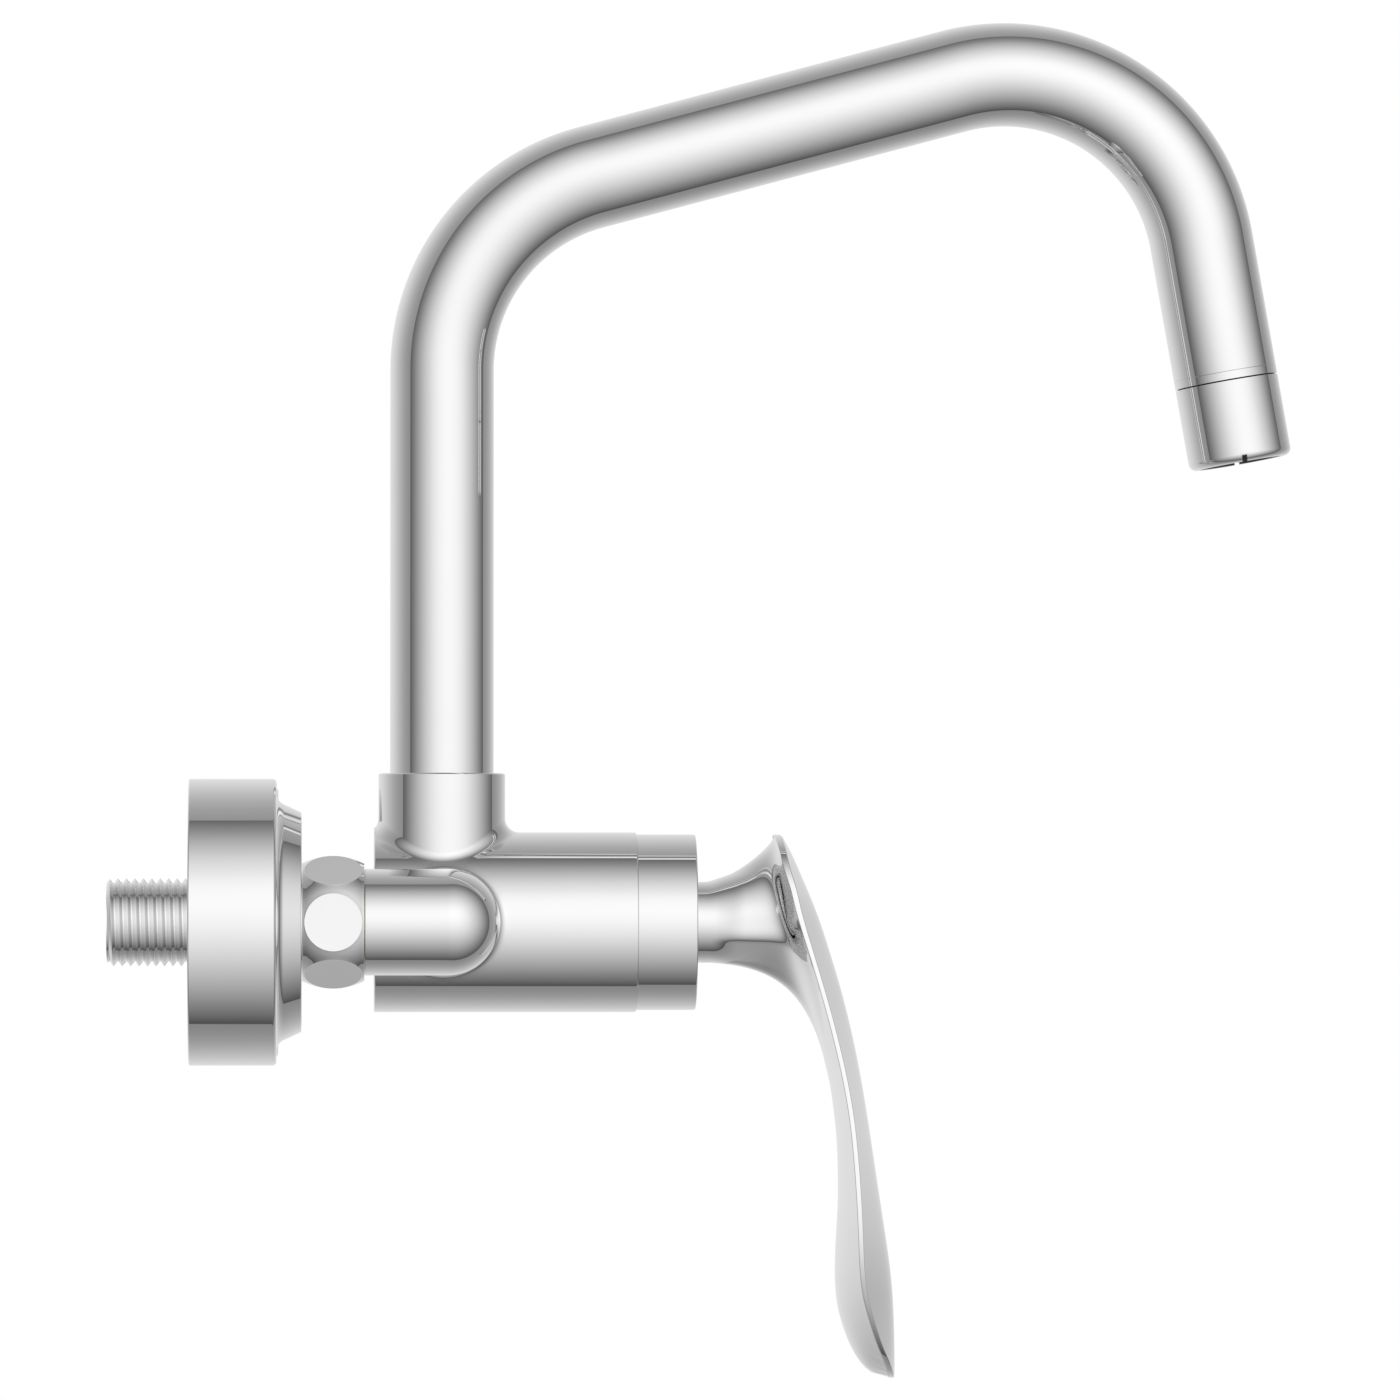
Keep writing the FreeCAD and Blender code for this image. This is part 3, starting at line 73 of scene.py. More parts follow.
def front_of(node):
    return -corner(node, 0, "y")


def rear_of(node):
    return -corner(node, 1, "y")


INLET_HALF_SPACING = 75.0

# Places and sizes read from the frame
TUBE_RADIUS = half_width("spout_tube")
TUBE_START = corner("spout_tube", 0, "z")
BARREL_FRONT = front_of("body_casting")
BARREL_RADIUS = -corner("body_casting", 0, "z")
SOCKET_TOP = corner("body_casting", 1, "z")
LEG_END = rear_of("body_casting")
ARM_RADIUS = half_width("body_casting") - INLET_HALF_SPACING
RING_RADIUS = half_width("cover_ring")
RING_FRONT = front_of("cover_ring")
PIVOT_REACH = -(corner("pivot_pin", 0, "y") + corner("pivot_pin", 1, "y")) / 2
LEVER_SCREW_REACH = PIVOT_REACH + 17.5
LEVER_TIP = corner("lever", 0, "z")
ESCUTCHEON_DEPTH = front_of("escutcheon_left")
NUT_FRONT = front_of("union_nut_left")
NUT_REAR = rear_of("union_nut_left")

# Body casting
BARREL_REAR = 44.4
SPOUT_REACH = 61.0
SOCKET_RADIUS = 15.5
SOCKET_FILLET = 3.5
ARM_REACH = 61.3
ARM_FILLET = 3.0
BARREL_BORE = 19.05
CARTRIDGE_BORE = 17.55
CARTRIDGE_STEP = 99.5
CARTRIDGE_SEAT = 74.0
SLIP_RING_SEAT = 13.55
SOCKET_BORE = 12.0
SOCKET_FLOOR = 20.9
BUSH_BORE = 9.65
BUSH_FLOOR = 54.4
EDGE = 0.3

# Spout route
TUBE_BORE = 11.2
RISER_TOP = 135.3
BEND_RADIUS = 49.15
SPOUT_RISE = math.radians(15)
SPOUT_RUN = 92.3
OUTLET_LEAN = math.radians(10)
OUTLET_RUN = 55.7
SHELL_LENGTH = 20.1
SHELL_JOINT = 0.3
FERRULE_BAND = 2.3
SLOT_HALF = 0.625
SLOT_DEPTH = 1.5

# Segments round a circle, for large and small pieces
FINE = 160
COARSE = 96


def unit(vector):
    vector = np.asarray(vector, float)
    return vector / np.linalg.norm(vector)


def points_at(*coordinates):
    """Points from their coordinates, each of them an array or one number."""
    return np.stack(np.broadcast_arrays(*coordinates), axis=-1)


def round_middle(radius, reach, turns):
    """Points round the tap's middle axis, turned from straight up."""
    return points_at(radius * np.sin(turns), -reach, radius * np.cos(turns))


class Axis:
    """A straight axis; ring() gives points round it at a radius and a distance along it."""

    def __init__(self, origin, along, side=(1, 0, 0)):
        self.origin = np.asarray(origin, float)
        self.along = unit(along)
        self.side = unit(side)
        self.third = np.cross(self.along, self.side)

    def ring(self, radius, distance, angles):
        radius = np.broadcast_to(radius, angles.shape)
        distance = np.broadcast_to(distance, angles.shape)
        around = np.cos(angles)[:, None] * self.side + np.sin(angles)[:, None] * self.third
        return self.origin + distance[:, None] * self.along + radius[:, None] * around

    def rings(self, outline, angles):
        return [self.ring(radius, distance, angles) for radius, distance in outline]


def forward_axis(across=0.0):
    return Axis((across, 0, 0), (0, -1, 0))


def circle_angles(count):
    return np.arange(count) * 2 * math.pi / count


def hexagon_radius(flat, angles):
    """Radius of a hexagon whose flats lie at a distance from its middle."""
    return flat / np.maximum.reduce([np.abs(np.cos(angles - k * math.pi / 3)) for k in range(3)])


class Skin:
    """Points and faces collected patch by patch, then welded into one mesh object."""

    def __init__(self):
        self.points, self.faces, self.finishes = [], [], []
        self.finish = self.count = 0

    def add(self, points, faces):
        points = np.asarray(points, float).reshape(-1, 3)
        self.points.append(points)
        self.faces += [tuple(index + self.count for index in face) for face in faces]
        self.finishes += [self.finish] * len(faces)
        self.count += len(points)

    def grid(self, rows, round_columns=False, lid=False):
        """Closed rows of equally many points; the last may close on the first, or get a flat end."""
        rows = np.asarray(rows, float)
        height, width = rows.shape[:2]
        faces = []
        for i in range(height if round_columns else height - 1):
            for j in range(width):
                below, beside = (i + 1) % height, (j + 1) % width
                faces.append((i * width + j, i * width + beside,
                              below * width + beside, below * width + j))
        self.add(rows, faces)
        if lid:
            self.disc(rows[-1])

    def disc(self, ring):
        """Flat end inside a ring, as a smaller ring and a middle point."""
        middle = ring.mean(axis=0)
        inner = middle + (ring - middle) * 0.5
        self.grid([ring, inner])
        count = len(ring)
        self.add([*inner, middle], [(i, (i + 1) % count, count) for i in range(count)])

    def build(self, name, node, body, crease=32, second=None):
        """Mesh object in place of a CAD node, with a second material on the faces of finish 1."""
        mesh = bpy.data.meshes.new(name)
        mesh.from_pydata((np.vstack(self.points) * MM).tolist(), [], self.faces)
        mesh.polygons.foreach_set("material_index", self.finishes)
        shape = bmesh.new()
        shape.from_mesh(mesh)
        bmesh.ops.remove_doubles(shape, verts=shape.verts, dist=WELD)
        bmesh.ops.dissolve_degenerate(shape, edges=shape.edges, dist=WELD / 2)
        bmesh.ops.recalc_face_normals(shape, faces=shape.faces)
        shape.to_mesh(mesh)
        shape.free()
        mesh.shade_smooth()
        mesh.set_sharp_from_angle(angle=math.radians(crease))
        mesh.materials.append(MATERIALS[SLOTS[node]])
        if second:
            mesh.materials.append(second)
        piece = bpy.data.objects.new(name, mesh)
        bpy.context.scene.collection.objects.link(piece)
        weighted = piece.modifiers.new("even_normals", "WEIGHTED_NORMAL")
        weighted.keep_sharp = True
        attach(piece, body)
        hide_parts(node)
        return piece


def arc(start, end, radius, steps=12):
    """Unrounded corners after start and before end on an arc that runs clockwise."""
    start, end = np.asarray(start, float), np.asarray(end, float)
    chord = end - start
    length = np.hypot(*chord)
    normal = np.array([chord[1], -chord[0]]) / length
    centre = (start + end) / 2 + normal * math.sqrt(radius ** 2 - length ** 2 / 4)
    first = math.atan2(*(start - centre)[::-1])
    last = math.atan2(*(end - centre)[::-1])
    angles = first - (first - last) % (2 * math.pi) * np.arange(1, steps) / steps
    return [(centre[0] + radius * math.cos(a), centre[1] + radius * math.sin(a), 0) for a in angles]


def rounded(corners, steps=4, closed=False):
    """Outline through (radius, along, rounding) corners, each with its own small rounding."""
    points = []
    count = len(corners)
    for i, (across, along, rounding) in enumerate(corners):
        here = np.array([across, along], float)
        if rounding <= 0 or (not closed and i in (0, count - 1)):
            points.append(here)
            continue
        before = np.array(corners[i - 1][:2], float) - here
        after = np.array(corners[(i + 1) % count][:2], float) - here
        before, after = before / np.hypot(*before), after / np.hypot(*after)
        half_angle = math.acos(np.clip(before @ after, -1, 1)) / 2
        setback = rounding / math.tan(half_angle)
        start, end = here + before * setback, here + after * setback
        centre = here + unit(before + after) * rounding / math.sin(half_angle)
        for k in range(steps + 1):
            blend = start + (end - start) * k / steps - centre
            points.append(centre + blend / np.hypot(*blend) * rounding)
    return np.array(points)


def turned_in_two(axis, outlines, count=FINE):
    """Skin of two open outlines turned round an axis, each with its own finish."""
    skin = Skin()
    for skin.finish, corners in enumerate(outlines):
        skin.grid(axis.rings(rounded(corners), circle_angles(count)))
    return skin


def inside(points, loop):
    """True for each flat point that lies inside a closed loop."""
    x, y = points[:, 0][:, None], points[:, 1][:, None]
    x0, y0 = loop[:, 0], loop[:, 1]
    x1, y1 = np.roll(x0, -1), np.roll(y0, -1)
    spans = (y0 > y) != (y1 > y)
    with np.errstate(divide="ignore", invalid="ignore"):
        crossing = x0 + (y - y0) * (x1 - x0) / (y1 - y0)
    return (spans & (x < crossing)).sum(axis=1) % 2 == 1


def panel(outer, holes, spacing):
    """Flat points and triangles that fill a loop round its holes; the loops keep their points."""
    loops = [np.asarray(loop, float) for loop in (outer, *holes)]
    rim = np.vstack(loops)
    low, high = loops[0].min(axis=0), loops[0].max(axis=0)
    columns = np.arange(low[0], high[0] + spacing, spacing)
    levels = np.arange(low[1], high[1] + spacing, spacing * math.sqrt(3) / 2)
    grid = np.array([(x + spacing / 2 * (k % 2), y) for k, y in enumerate(levels) for x in columns])
    grid = grid[inside(grid, loops[0])]
    for hole in loops[1:]:
        grid = grid[~inside(grid, hole)]
    nearest = spacing * 0.55
    clear = [np.hypot(*(rim - point).T).min() > nearest for point in grid]
    points = np.vstack([rim, grid[np.array(clear, bool)]]) if len(grid) else rim
    edges, start = [], 0
    for loop in loops:
        count = len(loop)
        edges += [(start + i, start + (i + 1) % count) for i in range(count)]
        start += count
    verts, _, faces, *_ = delaunay_2d_cdt([Vector(p) for p in points], edges, [], 0, 1e-7)
    verts = np.array([tuple(v) for v in verts])
    faces = [tuple(face) for face in faces]
    middles = np.array([verts[list(face)].mean(axis=0) for face in faces])
    keep = inside(middles, loops[0])
    for hole in loops[1:]:
        keep &= ~inside(middles, hole)
    return verts, [face for face, kept in zip(faces, keep) if kept]


def sheet(bottom, columns, levels):
    """Outline of an unrolled sheet: its lower edge, its sides at the levels between, its upper edge."""
    right = [(columns[-1], level) for level in levels[1:-1]]
    left = [(columns[0], level) for level in levels[-2:0:-1]]
    return [*bottom, *right, *((place, levels[-1]) for place in columns[::-1]), *left]


def spline(places, values):
    """Natural cubic through the points."""
    x, y = np.asarray(places, float), np.asarray(values, float)
    order = np.argsort(x)
    x, y = x[order], y[order]
    step = np.diff(x)
    slope = np.diff(y) / step
    matrix, right = np.eye(len(x)), np.zeros(len(x))
    for i in range(1, len(x) - 1):
        matrix[i, i - 1:i + 2] = step[i - 1], 2 * (step[i - 1] + step[i]), step[i]
        right[i] = 6 * (slope[i] - slope[i - 1])
    bend = np.linalg.solve(matrix, right)

    def at(place):
        place = np.clip(place, x[0], x[-1])
        i = np.clip(np.searchsorted(x, place, side="right") - 1, 0, len(x) - 2)
        a, b, span = x[i + 1] - place, place - x[i], step[i]
        return ((bend[i] * a ** 3 + bend[i + 1] * b ** 3) / (6 * span)
                + (y[i] / span - bend[i] * span / 6) * a
                + (y[i + 1] / span - bend[i + 1] * span / 6) * b)

    return at


# Materials


def new_material(name):
    material = bpy.data.materials.new(name)
    material.use_nodes = True
    tree = material.node_tree
    return material, tree, tree.nodes["Principled BSDF"]


def wired(tree, node, inputs):
    """Outputs of a node, once its inputs are set to plain values or linked to other outputs.

    A kind of node given by name is added to the tree.
    """
    if isinstance(node, str):
        node = tree.nodes.new("ShaderNode" + node)
    for name, value in inputs.items():
        if isinstance(value, bpy.types.NodeSocket):
            tree.links.new(value, node.inputs[name])
        else:
            node.inputs[name].default_value = value
    return node.outputs


def noise(tree, scale, detail=3.0):
    """Noise in object space, so that it stays on the piece."""
    place = wired(tree, "TexCoord", {})["Object"]
    return wired(tree, "TexNoise", {"Scale": scale, "Detail": detail, "Vector": place})["Fac"]


def spread(tree, source, low, high):
    """Noise turned into a number between two limits."""
    limits = {"From Min": 0.3, "From Max": 0.7, "To Min": low, "To Max": high, "Value": source}
    return wired(tree, "MapRange", limits)["Result"]


def bumped(tree, source, distance, strength=1.0):
    return wired(tree, "Bump", {"Distance": distance, "Strength": strength, "Height": source})["Normal"]


def tinted(tree, source, dark, light):
    """Colour that drifts between two near tones."""
    mix = tree.nodes.new("ShaderNodeMix")
    mix.data_type = "RGBA"
    return wired(tree, mix, {"A": (*dark, 1), "B": (*light, 1), "Factor": source})["Result"]


def chrome(name, roughness=0.012, waviness=0.0000001):
    """Plated metal: mirror with a faint polishing haze and a barely uneven surface."""
    material, tree, shader = new_material(name)
    wired(tree, shader, {
        "Metallic": 1.0,
        "Base Color": tinted(tree, noise(tree, 90.0), (0.85, 0.85, 0.85), (0.87, 0.87, 0.87)),
        "Roughness": spread(tree, noise(tree, 35.0), roughness * 0.7, roughness * 1.4),
        "Normal": bumped(tree, noise(tree, 160.0, 1.0), waviness),
    })
    return material


def machined_metal(name, dark, light, roughness):
    """Bare metal with fine tool marks."""
    material, tree, shader = new_material(name)
    grain = noise(tree, 700.0, 4.0)
    wired(tree, shader, {
        "Metallic": 1.0,
        "Base Color": tinted(tree, grain, dark, light),
        "Roughness": spread(tree, grain, roughness * 0.8, roughness * 1.25),
        "Normal": bumped(tree, noise(tree, 2500.0), 0.00002, 0.5),
    })
    return material


def moulded(name, dark, light, roughness, grain_size=1800.0):
    """Plastic, rubber or ceramic with its fine surface grain."""
    material, tree, shader = new_material(name)
    cloud = noise(tree, 120.0)
    wired(tree, shader, {
        "Base Color": tinted(tree, cloud, dark, light),
        "Roughness": spread(tree, cloud, roughness * 0.85, roughness * 1.15),
        "Normal": bumped(tree, noise(tree, grain_size), 0.00003, 0.4),
    })
    return material


MATERIALS = {
    "chrome_body": chrome("polished_chrome"),
    "chrome_plastic": chrome("plated_plastic", roughness=0.07),
    "bare_brass": machined_metal("machined_brass", (0.63, 0.46, 0.22), (0.74, 0.58, 0.32), 0.32),
    "steel": machined_metal("stainless_steel", (0.5, 0.5, 0.51), (0.66, 0.66, 0.68), 0.28),
    "white_plastic": moulded("white_moulding", (0.82, 0.82, 0.8), (0.88, 0.88, 0.86), 0.45),
    "ceramic": moulded("lapped_ceramic", (0.9, 0.89, 0.87), (0.94, 0.93, 0.91), 0.2, 4000.0),
    "black_plastic": moulded("black_moulding", (0.025, 0.025, 0.026), (0.05, 0.05, 0.05), 0.4),
    "black_rubber": moulded("black_rubber", (0.02, 0.02, 0.02), (0.04, 0.04, 0.04), 0.7, 1200.0),
}
UNPOLISHED = moulded("unpolished_plating", (0.42, 0.41, 0.39), (0.5, 0.49, 0.47), 0.5)
SATIN = moulded("satin_plating", (0.74, 0.74, 0.74), (0.8, 0.8, 0.8), 0.4)


def dress_frame():
    """Each CAD node that stays gets the material of its slot."""
    for node, slot in SLOTS.items():
        mesh = NODES[node].data
        mesh.materials.clear()
        mesh.materials.append(MATERIALS[slot])
        mesh.shade_smooth()
        mesh.set_sharp_from_angle(angle=math.radians(30))


# Wall side: connectors, escutcheons and union nuts

THREAD_CREST = 10.42
THREAD_ROOT = 9.33
THREAD_PITCH = 2.0
THREAD_LENGTH = 19.4
THREAD_END = 1.6
THREAD_ENTRY = 0.555
THREAD_RELIEF = 0.1
THREAD_GAP = 0.05
THREAD_FLANK = 0.4
LEAD_IN_SLOPE = 1.6
RUN_OUT_LENGTH = 1.2
CONNECTOR_RADIUS = 12.6
CONNECTOR_BORE = 6.0
KEY_DEPTH = 9.0


def thread_radius(reach, phase):
    """Radius of the wall thread: crest halfway through the pitch, rounded root between."""
    height = THREAD_CREST - THREAD_ROOT
    radius = THREAD_ROOT + height * np.clip(1.05 - abs(phase - 0.5) / THREAD_FLANK, 0, 1)
    lead_in = THREAD_ROOT - THREAD_RELIEF + (reach + THREAD_LENGTH) * LEAD_IN_SLOPE
    run_out = THREAD_ROOT + height * np.clip(1 + (reach - THREAD_END) / RUN_OUT_LENGTH, 0, 1)
    return np.maximum(np.minimum(radius, lead_in), run_out)


def thread(skin, axis, angles):
    """Wall thread as a grid whose rows climb with the helix, cut square at both ends."""
    count, per_pitch = len(angles), 12
    turns = int((THREAD_LENGTH + THREAD_END) / THREAD_PITCH) + 4
    rows = []
    for k in range(turns * per_pitch):
        phase = k / per_pitch
        reach = (phase + THREAD_ENTRY - 2 + angles / (2 * math.pi)) * THREAD_PITCH - THREAD_LENGTH
        reach = np.clip(reach, -THREAD_LENGTH, THREAD_END)
        rows.append(axis.ring(thread_radius(reach, phase % 1), reach, angles))
    faces = []
    for k in range(len(rows) - per_pitch - 1):
        for j in range(count):
            here = k * count + j
            beside = here + 1 if j < count - 1 else (k + per_pitch) * count
            faces.append((here, beside, beside + count, here + count))
    skin.add(rows, faces)


def wall_connector(side, across):
    axis = forward_axis(across)
    angles = circle_angles(COARSE)
    end = rear_of(f"union_washer_{side}")
    skin = Skin()
    thread(skin, axis, angles)
    hexagon = hexagon_radius(CONNECTOR_BORE, angles)
    outside = rounded([
        (THREAD_CREST, THREAD_END, 0), (CONNECTOR_RADIUS, 3.0, 0.3),
        (CONNECTOR_RADIUS, end, 0.3), (CONNECTOR_BORE + 1.5, end, 0)])
    inside_key = [(hexagon, end), (hexagon, end - KEY_DEPTH), (CONNECTOR_BORE, end - KEY_DEPTH)]
    mouth = [(CONNECTOR_BORE, 0.8 - THREAD_LENGTH), (CONNECTOR_BORE + 0.8, -THREAD_LENGTH),
             (THREAD_ROOT - THREAD_RELIEF, -THREAD_LENGTH)]
    skin.grid(axis.rings([*outside, *inside_key, *mouth], angles))
    skin.build(f"threaded_connector_{side}", f"wall_connector_{side}", "root", crease=40)


def escutcheon(side, across):
    """Drawn cover: cylindrical rim, step, cone and flat front with a hub inside."""
    radius = half_width(f"escutcheon_{side}")
    step = 20.8
    foot, cone, lip = (30.7, step), (27.985, 22.525), 26.05
    face, wall, hub = ESCUTCHEON_DEPTH, 1.6, 2.2
    bore = CONNECTOR_RADIUS + THREAD_GAP
    outside = [
        (radius - wall / 2, 0, 0), (radius, 0, 0.4), (radius, step, 0.9), (*foot, 0),
        *arc(foot, cone, 3.0), (*cone, 0), (lip, face, 0.3), (bore, face, 0.2), (bore, face - 3, 0),
    ]
    inside = [
        outside[-1], (bore, face - 6, 0.2), (bore + hub, face - 6, 0.2), (bore + hub, face - wall, 0.4),
        (lip - hub, face - wall, 0.4), (foot[0] - wall, step - wall, 0.6),
        (radius - wall, step - wall, 0.6), (radius - wall, 0, 0.3), outside[0],
    ]
    skin = turned_in_two(forward_axis(across), (outside, inside))
    piece = skin.build(f"escutcheon_shell_{side}", f"escutcheon_{side}", "root", second=UNPOLISHED)
    piece.visible_glossy = side == "right"


NUT_BALL = 15.75
NUT_FLAT = 14.18
NUT_LIP_BORE = 9.9
FLAT_EDGE = 0.16


def union_nut(side, across):
    """Ball-shaped nut with six round flats."""
    middle = (NUT_FRONT + NUT_REAR) / 2
    ball_half = (NUT_FRONT - NUT_REAR) / 2 - EDGE
    centre = np.array([across, -middle, 0])
    rim = math.sqrt(NUT_BALL ** 2 - NUT_FLAT ** 2)
    outer_rim = rim + FLAT_EDGE
    flat_rings = [(outer_rim, math.sqrt(NUT_BALL ** 2 - outer_rim ** 2)), (rim, NUT_FLAT + 0.02),
                  (rim - FLAT_EDGE, NUT_FLAT), (rim * 0.5, NUT_FLAT)]
    skin = Skin()
    loops = []
    for aim in circle_angles(6):
        axis = Axis(centre, (math.cos(aim), 0, math.sin(aim)), (-math.sin(aim), 0, math.cos(aim)))
        rings = axis.rings(flat_rings, circle_angles(72))
        skin.grid(rings, lid=True)
        edge = rings[0] - centre
        turn = np.arctan2(edge[:, 2], edge[:, 0])
        turn = aim + (turn - aim + math.pi) % (2 * math.pi) - math.pi
        loops.append(points_at(turn * NUT_BALL, -edge[:, 1]))
    start = -math.pi / 6
    columns = (start + circle_angles(COARSE)) * NUT_BALL
    columns = np.append(columns, (start + 2 * math.pi) * NUT_BALL)
    levels = np.linspace(-ball_half, ball_half, 17)
    outer = sheet([(place, levels[0]) for place in columns], columns, levels)
    flat, faces = panel(outer, loops, 0.75)
    turn, radius = flat[:, 0] / NUT_BALL, np.sqrt(NUT_BALL ** 2 - flat[:, 1] ** 2)
    skin.add(centre + points_at(radius * np.cos(turn), -flat[:, 1], radius * np.sin(turn)), faces)
    end_radius = math.sqrt(NUT_BALL ** 2 - ball_half ** 2)
    bore = CONNECTOR_RADIUS + THREAD_GAP
    outline = rounded([
        (end_radius, middle + ball_half, 0), (end_radius - 0.1, NUT_FRONT, 0.2),
        (NUT_LIP_BORE, NUT_FRONT, 0.3), (NUT_LIP_BORE, NUT_FRONT - 3, 0), (bore, NUT_FRONT - 3, 0),
        (bore, NUT_REAR, 0.3), (end_radius - 0.1, NUT_REAR, 0.2), (end_radius, middle - ball_half, 0)])
    skin.grid(forward_axis(across).rings(outline, start + circle_angles(COARSE)))
    skin.build(f"union_nut_shell_{side}", f"union_nut_{side}", "root", crease=20)


# Body casting


def ball_rolled(small_radius, fillet, turns):
    """Fillet between the barrel and a smaller cylinder that crosses it: centres and both contacts.

    The smaller cylinder's axis is the first direction; the barrel runs along the second.
    """
    reach = small_radius + fillet
    across = reach * np.sin(turns)
    outward = np.sqrt((BARREL_RADIUS + fillet) ** 2 - across ** 2)
    along = reach * np.cos(turns)
    centres = points_at(outward, along, across)
    share = BARREL_RADIUS / (BARREL_RADIUS + fillet)
    on_barrel = points_at(outward * share, along, across * share)
    share = small_radius / reach
    on_small = points_at(outward, along * share, across * share)
    return centres, on_barrel, on_small


def share_reached(centres, first, last, along):
    """Share of each fillet arc, from the first contact to the last, where it comes to a place along."""
    begin, end = first - centres, last - centres
    size = np.linalg.norm(begin, axis=1) * np.linalg.norm(end, axis=1)
    angle = np.arccos(np.clip((begin * end).sum(axis=1) / size, -1, 1))
    even, odd = begin[:, 1] * np.sin(angle), end[:, 1] - begin[:, 1] * np.cos(angle)
    level = (along - centres[:, 1]) * np.sin(angle) / np.hypot(even, odd)
    turned = np.arctan2(odd, even) - np.arccos(np.clip(level, -1, 1))
    return np.clip(turned / angle, 0, 1)


def fillet_rows(centres, first, last, fillet, steps, start=0.0):
    """Rows of the round surface from the first contact, or a share past it, to the last."""
    begin = (first - centres) / fillet
    end = (last - centres) / fillet
    angle = np.arccos(np.clip((begin * end).sum(axis=1), -1, 1))[:, None]
    rows = []
    for k in range(steps + 1):
        share = np.reshape(start + (1 - start) * k / steps, (-1, 1))
        mixed = (np.sin((1 - share) * angle) * begin + np.sin(share * angle) * end) / np.sin(angle)
        rows.append(centres + fillet * mixed)
    return rows


def unrolled(points):
    """Points on the barrel as the distance round it from the top, and the reach."""
    return points_at(np.arctan2(points[:, 0], points[:, 2]) * BARREL_RADIUS, -points[:, 1])


def body_casting():
    """Barrel with the spout socket and both arms run into it by rolled fillets."""
    skin = Skin()
    columns = -math.pi + circle_angles(FINE)
    cut = BARREL_REAR + EDGE
    front = BARREL_FRONT - EDGE
    loops = [body_arm(skin, sign) for sign in (-1, 1)]
    notch, rear_bump, notch_ends = body_socket(skin, cut)

    gap = 0.004
    rear_left = [turn for turn in columns if turn < notch_ends[0] - gap]
    rear_right = [turn for turn in columns if turn > notch_ends[1] + gap]
    bottom = [(turn * BARREL_RADIUS, cut) for turn in rear_left] + [tuple(point) for point in notch]
    bottom += [(turn * BARREL_RADIUS, cut) for turn in (*rear_right, math.pi)]
    across = np.append(columns, math.pi) * BARREL_RADIUS
    outer = sheet(bottom, across, np.linspace(cut, front, 60))
    flat, faces = panel(outer, loops, 1.1)
    skin.add(round_middle(BARREL_RADIUS, flat[:, 1], flat[:, 0] / BARREL_RADIUS), faces)

    outline = np.vstack([rear_bump, round_middle(BARREL_RADIUS, cut, rear_right + rear_left)])
    size = np.hypot(outline[:, 0], outline[:, 2])[:, None]
    rows = []
    for k in range(5):
        angle = k * math.pi / 8
        row = outline * (1 - EDGE * (1 - math.cos(angle)) / size)
        row[:, 1] = -(BARREL_REAR + EDGE * (1 - math.sin(angle)))
        rows.append(row)
    inner = rows[-1] * np.array([0.96, 1, 0.96])
    skin.grid([*rows, inner], lid=True)

    outline = rounded([
        (BARREL_RADIUS, front, 0), (BARREL_RADIUS, BARREL_FRONT, 0.2), (BARREL_BORE, BARREL_FRONT, 0.2),
        (BARREL_BORE, CARTRIDGE_STEP, 0), (CARTRIDGE_BORE, CARTRIDGE_STEP, 0),
        (CARTRIDGE_BORE, CARTRIDGE_SEAT, 0)])
    rows = [round_middle(radius, reach, columns) for radius, reach in outline]
    skin.grid(rows, lid=True)
    skin.build("body_shell", "body_casting", "root", crease=24)


def body_arm(skin, sign):
    """One arm with its fillet, ball corner and leg; returns its outline on the unrolled barrel."""
    turns = circle_angles(COARSE)
    side = ARM_RADIUS * np.cos(turns)
    up = ARM_RADIUS * np.sin(turns)

    def placed(points):
        out, along, up = points[..., 0], points[..., 1], points[..., 2]
        return points_at(sign * out, -(ARM_REACH + along), up)

    centres, on_barrel, on_arm = ball_rolled(ARM_RADIUS, ARM_FILLET, turns)
    rows = [placed(row) for row in fillet_rows(centres, on_barrel, on_arm, ARM_FILLET, 12)]
    inner_side = np.minimum(side, 0)
    elbow_start = INLET_HALF_SPACING + inner_side
    for share in np.linspace(0, 1, 12)[1:]:
        out = on_arm[:, 0] + (elbow_start - on_arm[:, 0]) * share
        rows.append(placed(points_at(out, side, up)))
    outer_side = np.maximum(side, 0)
    for angle in np.linspace(0, math.pi / 2, 17)[1:]:
        out = elbow_start + outer_side * math.sin(angle)
        along = inner_side + outer_side * math.cos(angle)
        rows.append(placed(points_at(out, along, up)))
    elbow_along = inner_side
    leg = LEG_END - ARM_REACH
    for share in np.linspace(0, 1, 8)[1:]:
        along = elbow_along + (leg + EDGE - elbow_along) * share
        rows.append(placed(points_at(INLET_HALF_SPACING + side, along, up)))
    for radius, along in rounded([
            (ARM_RADIUS, leg + EDGE, 0), (ARM_RADIUS, leg, 0.2), (BUSH_BORE, leg, 0.3),
            (BUSH_BORE, BUSH_FLOOR - ARM_REACH, 0)])[1:]:
        scale = radius / ARM_RADIUS
        rows.append(placed(points_at(INLET_HALF_SPACING + side * scale, along, up * scale)))
    skin.grid(rows, lid=True)
    return unrolled(rows[0])


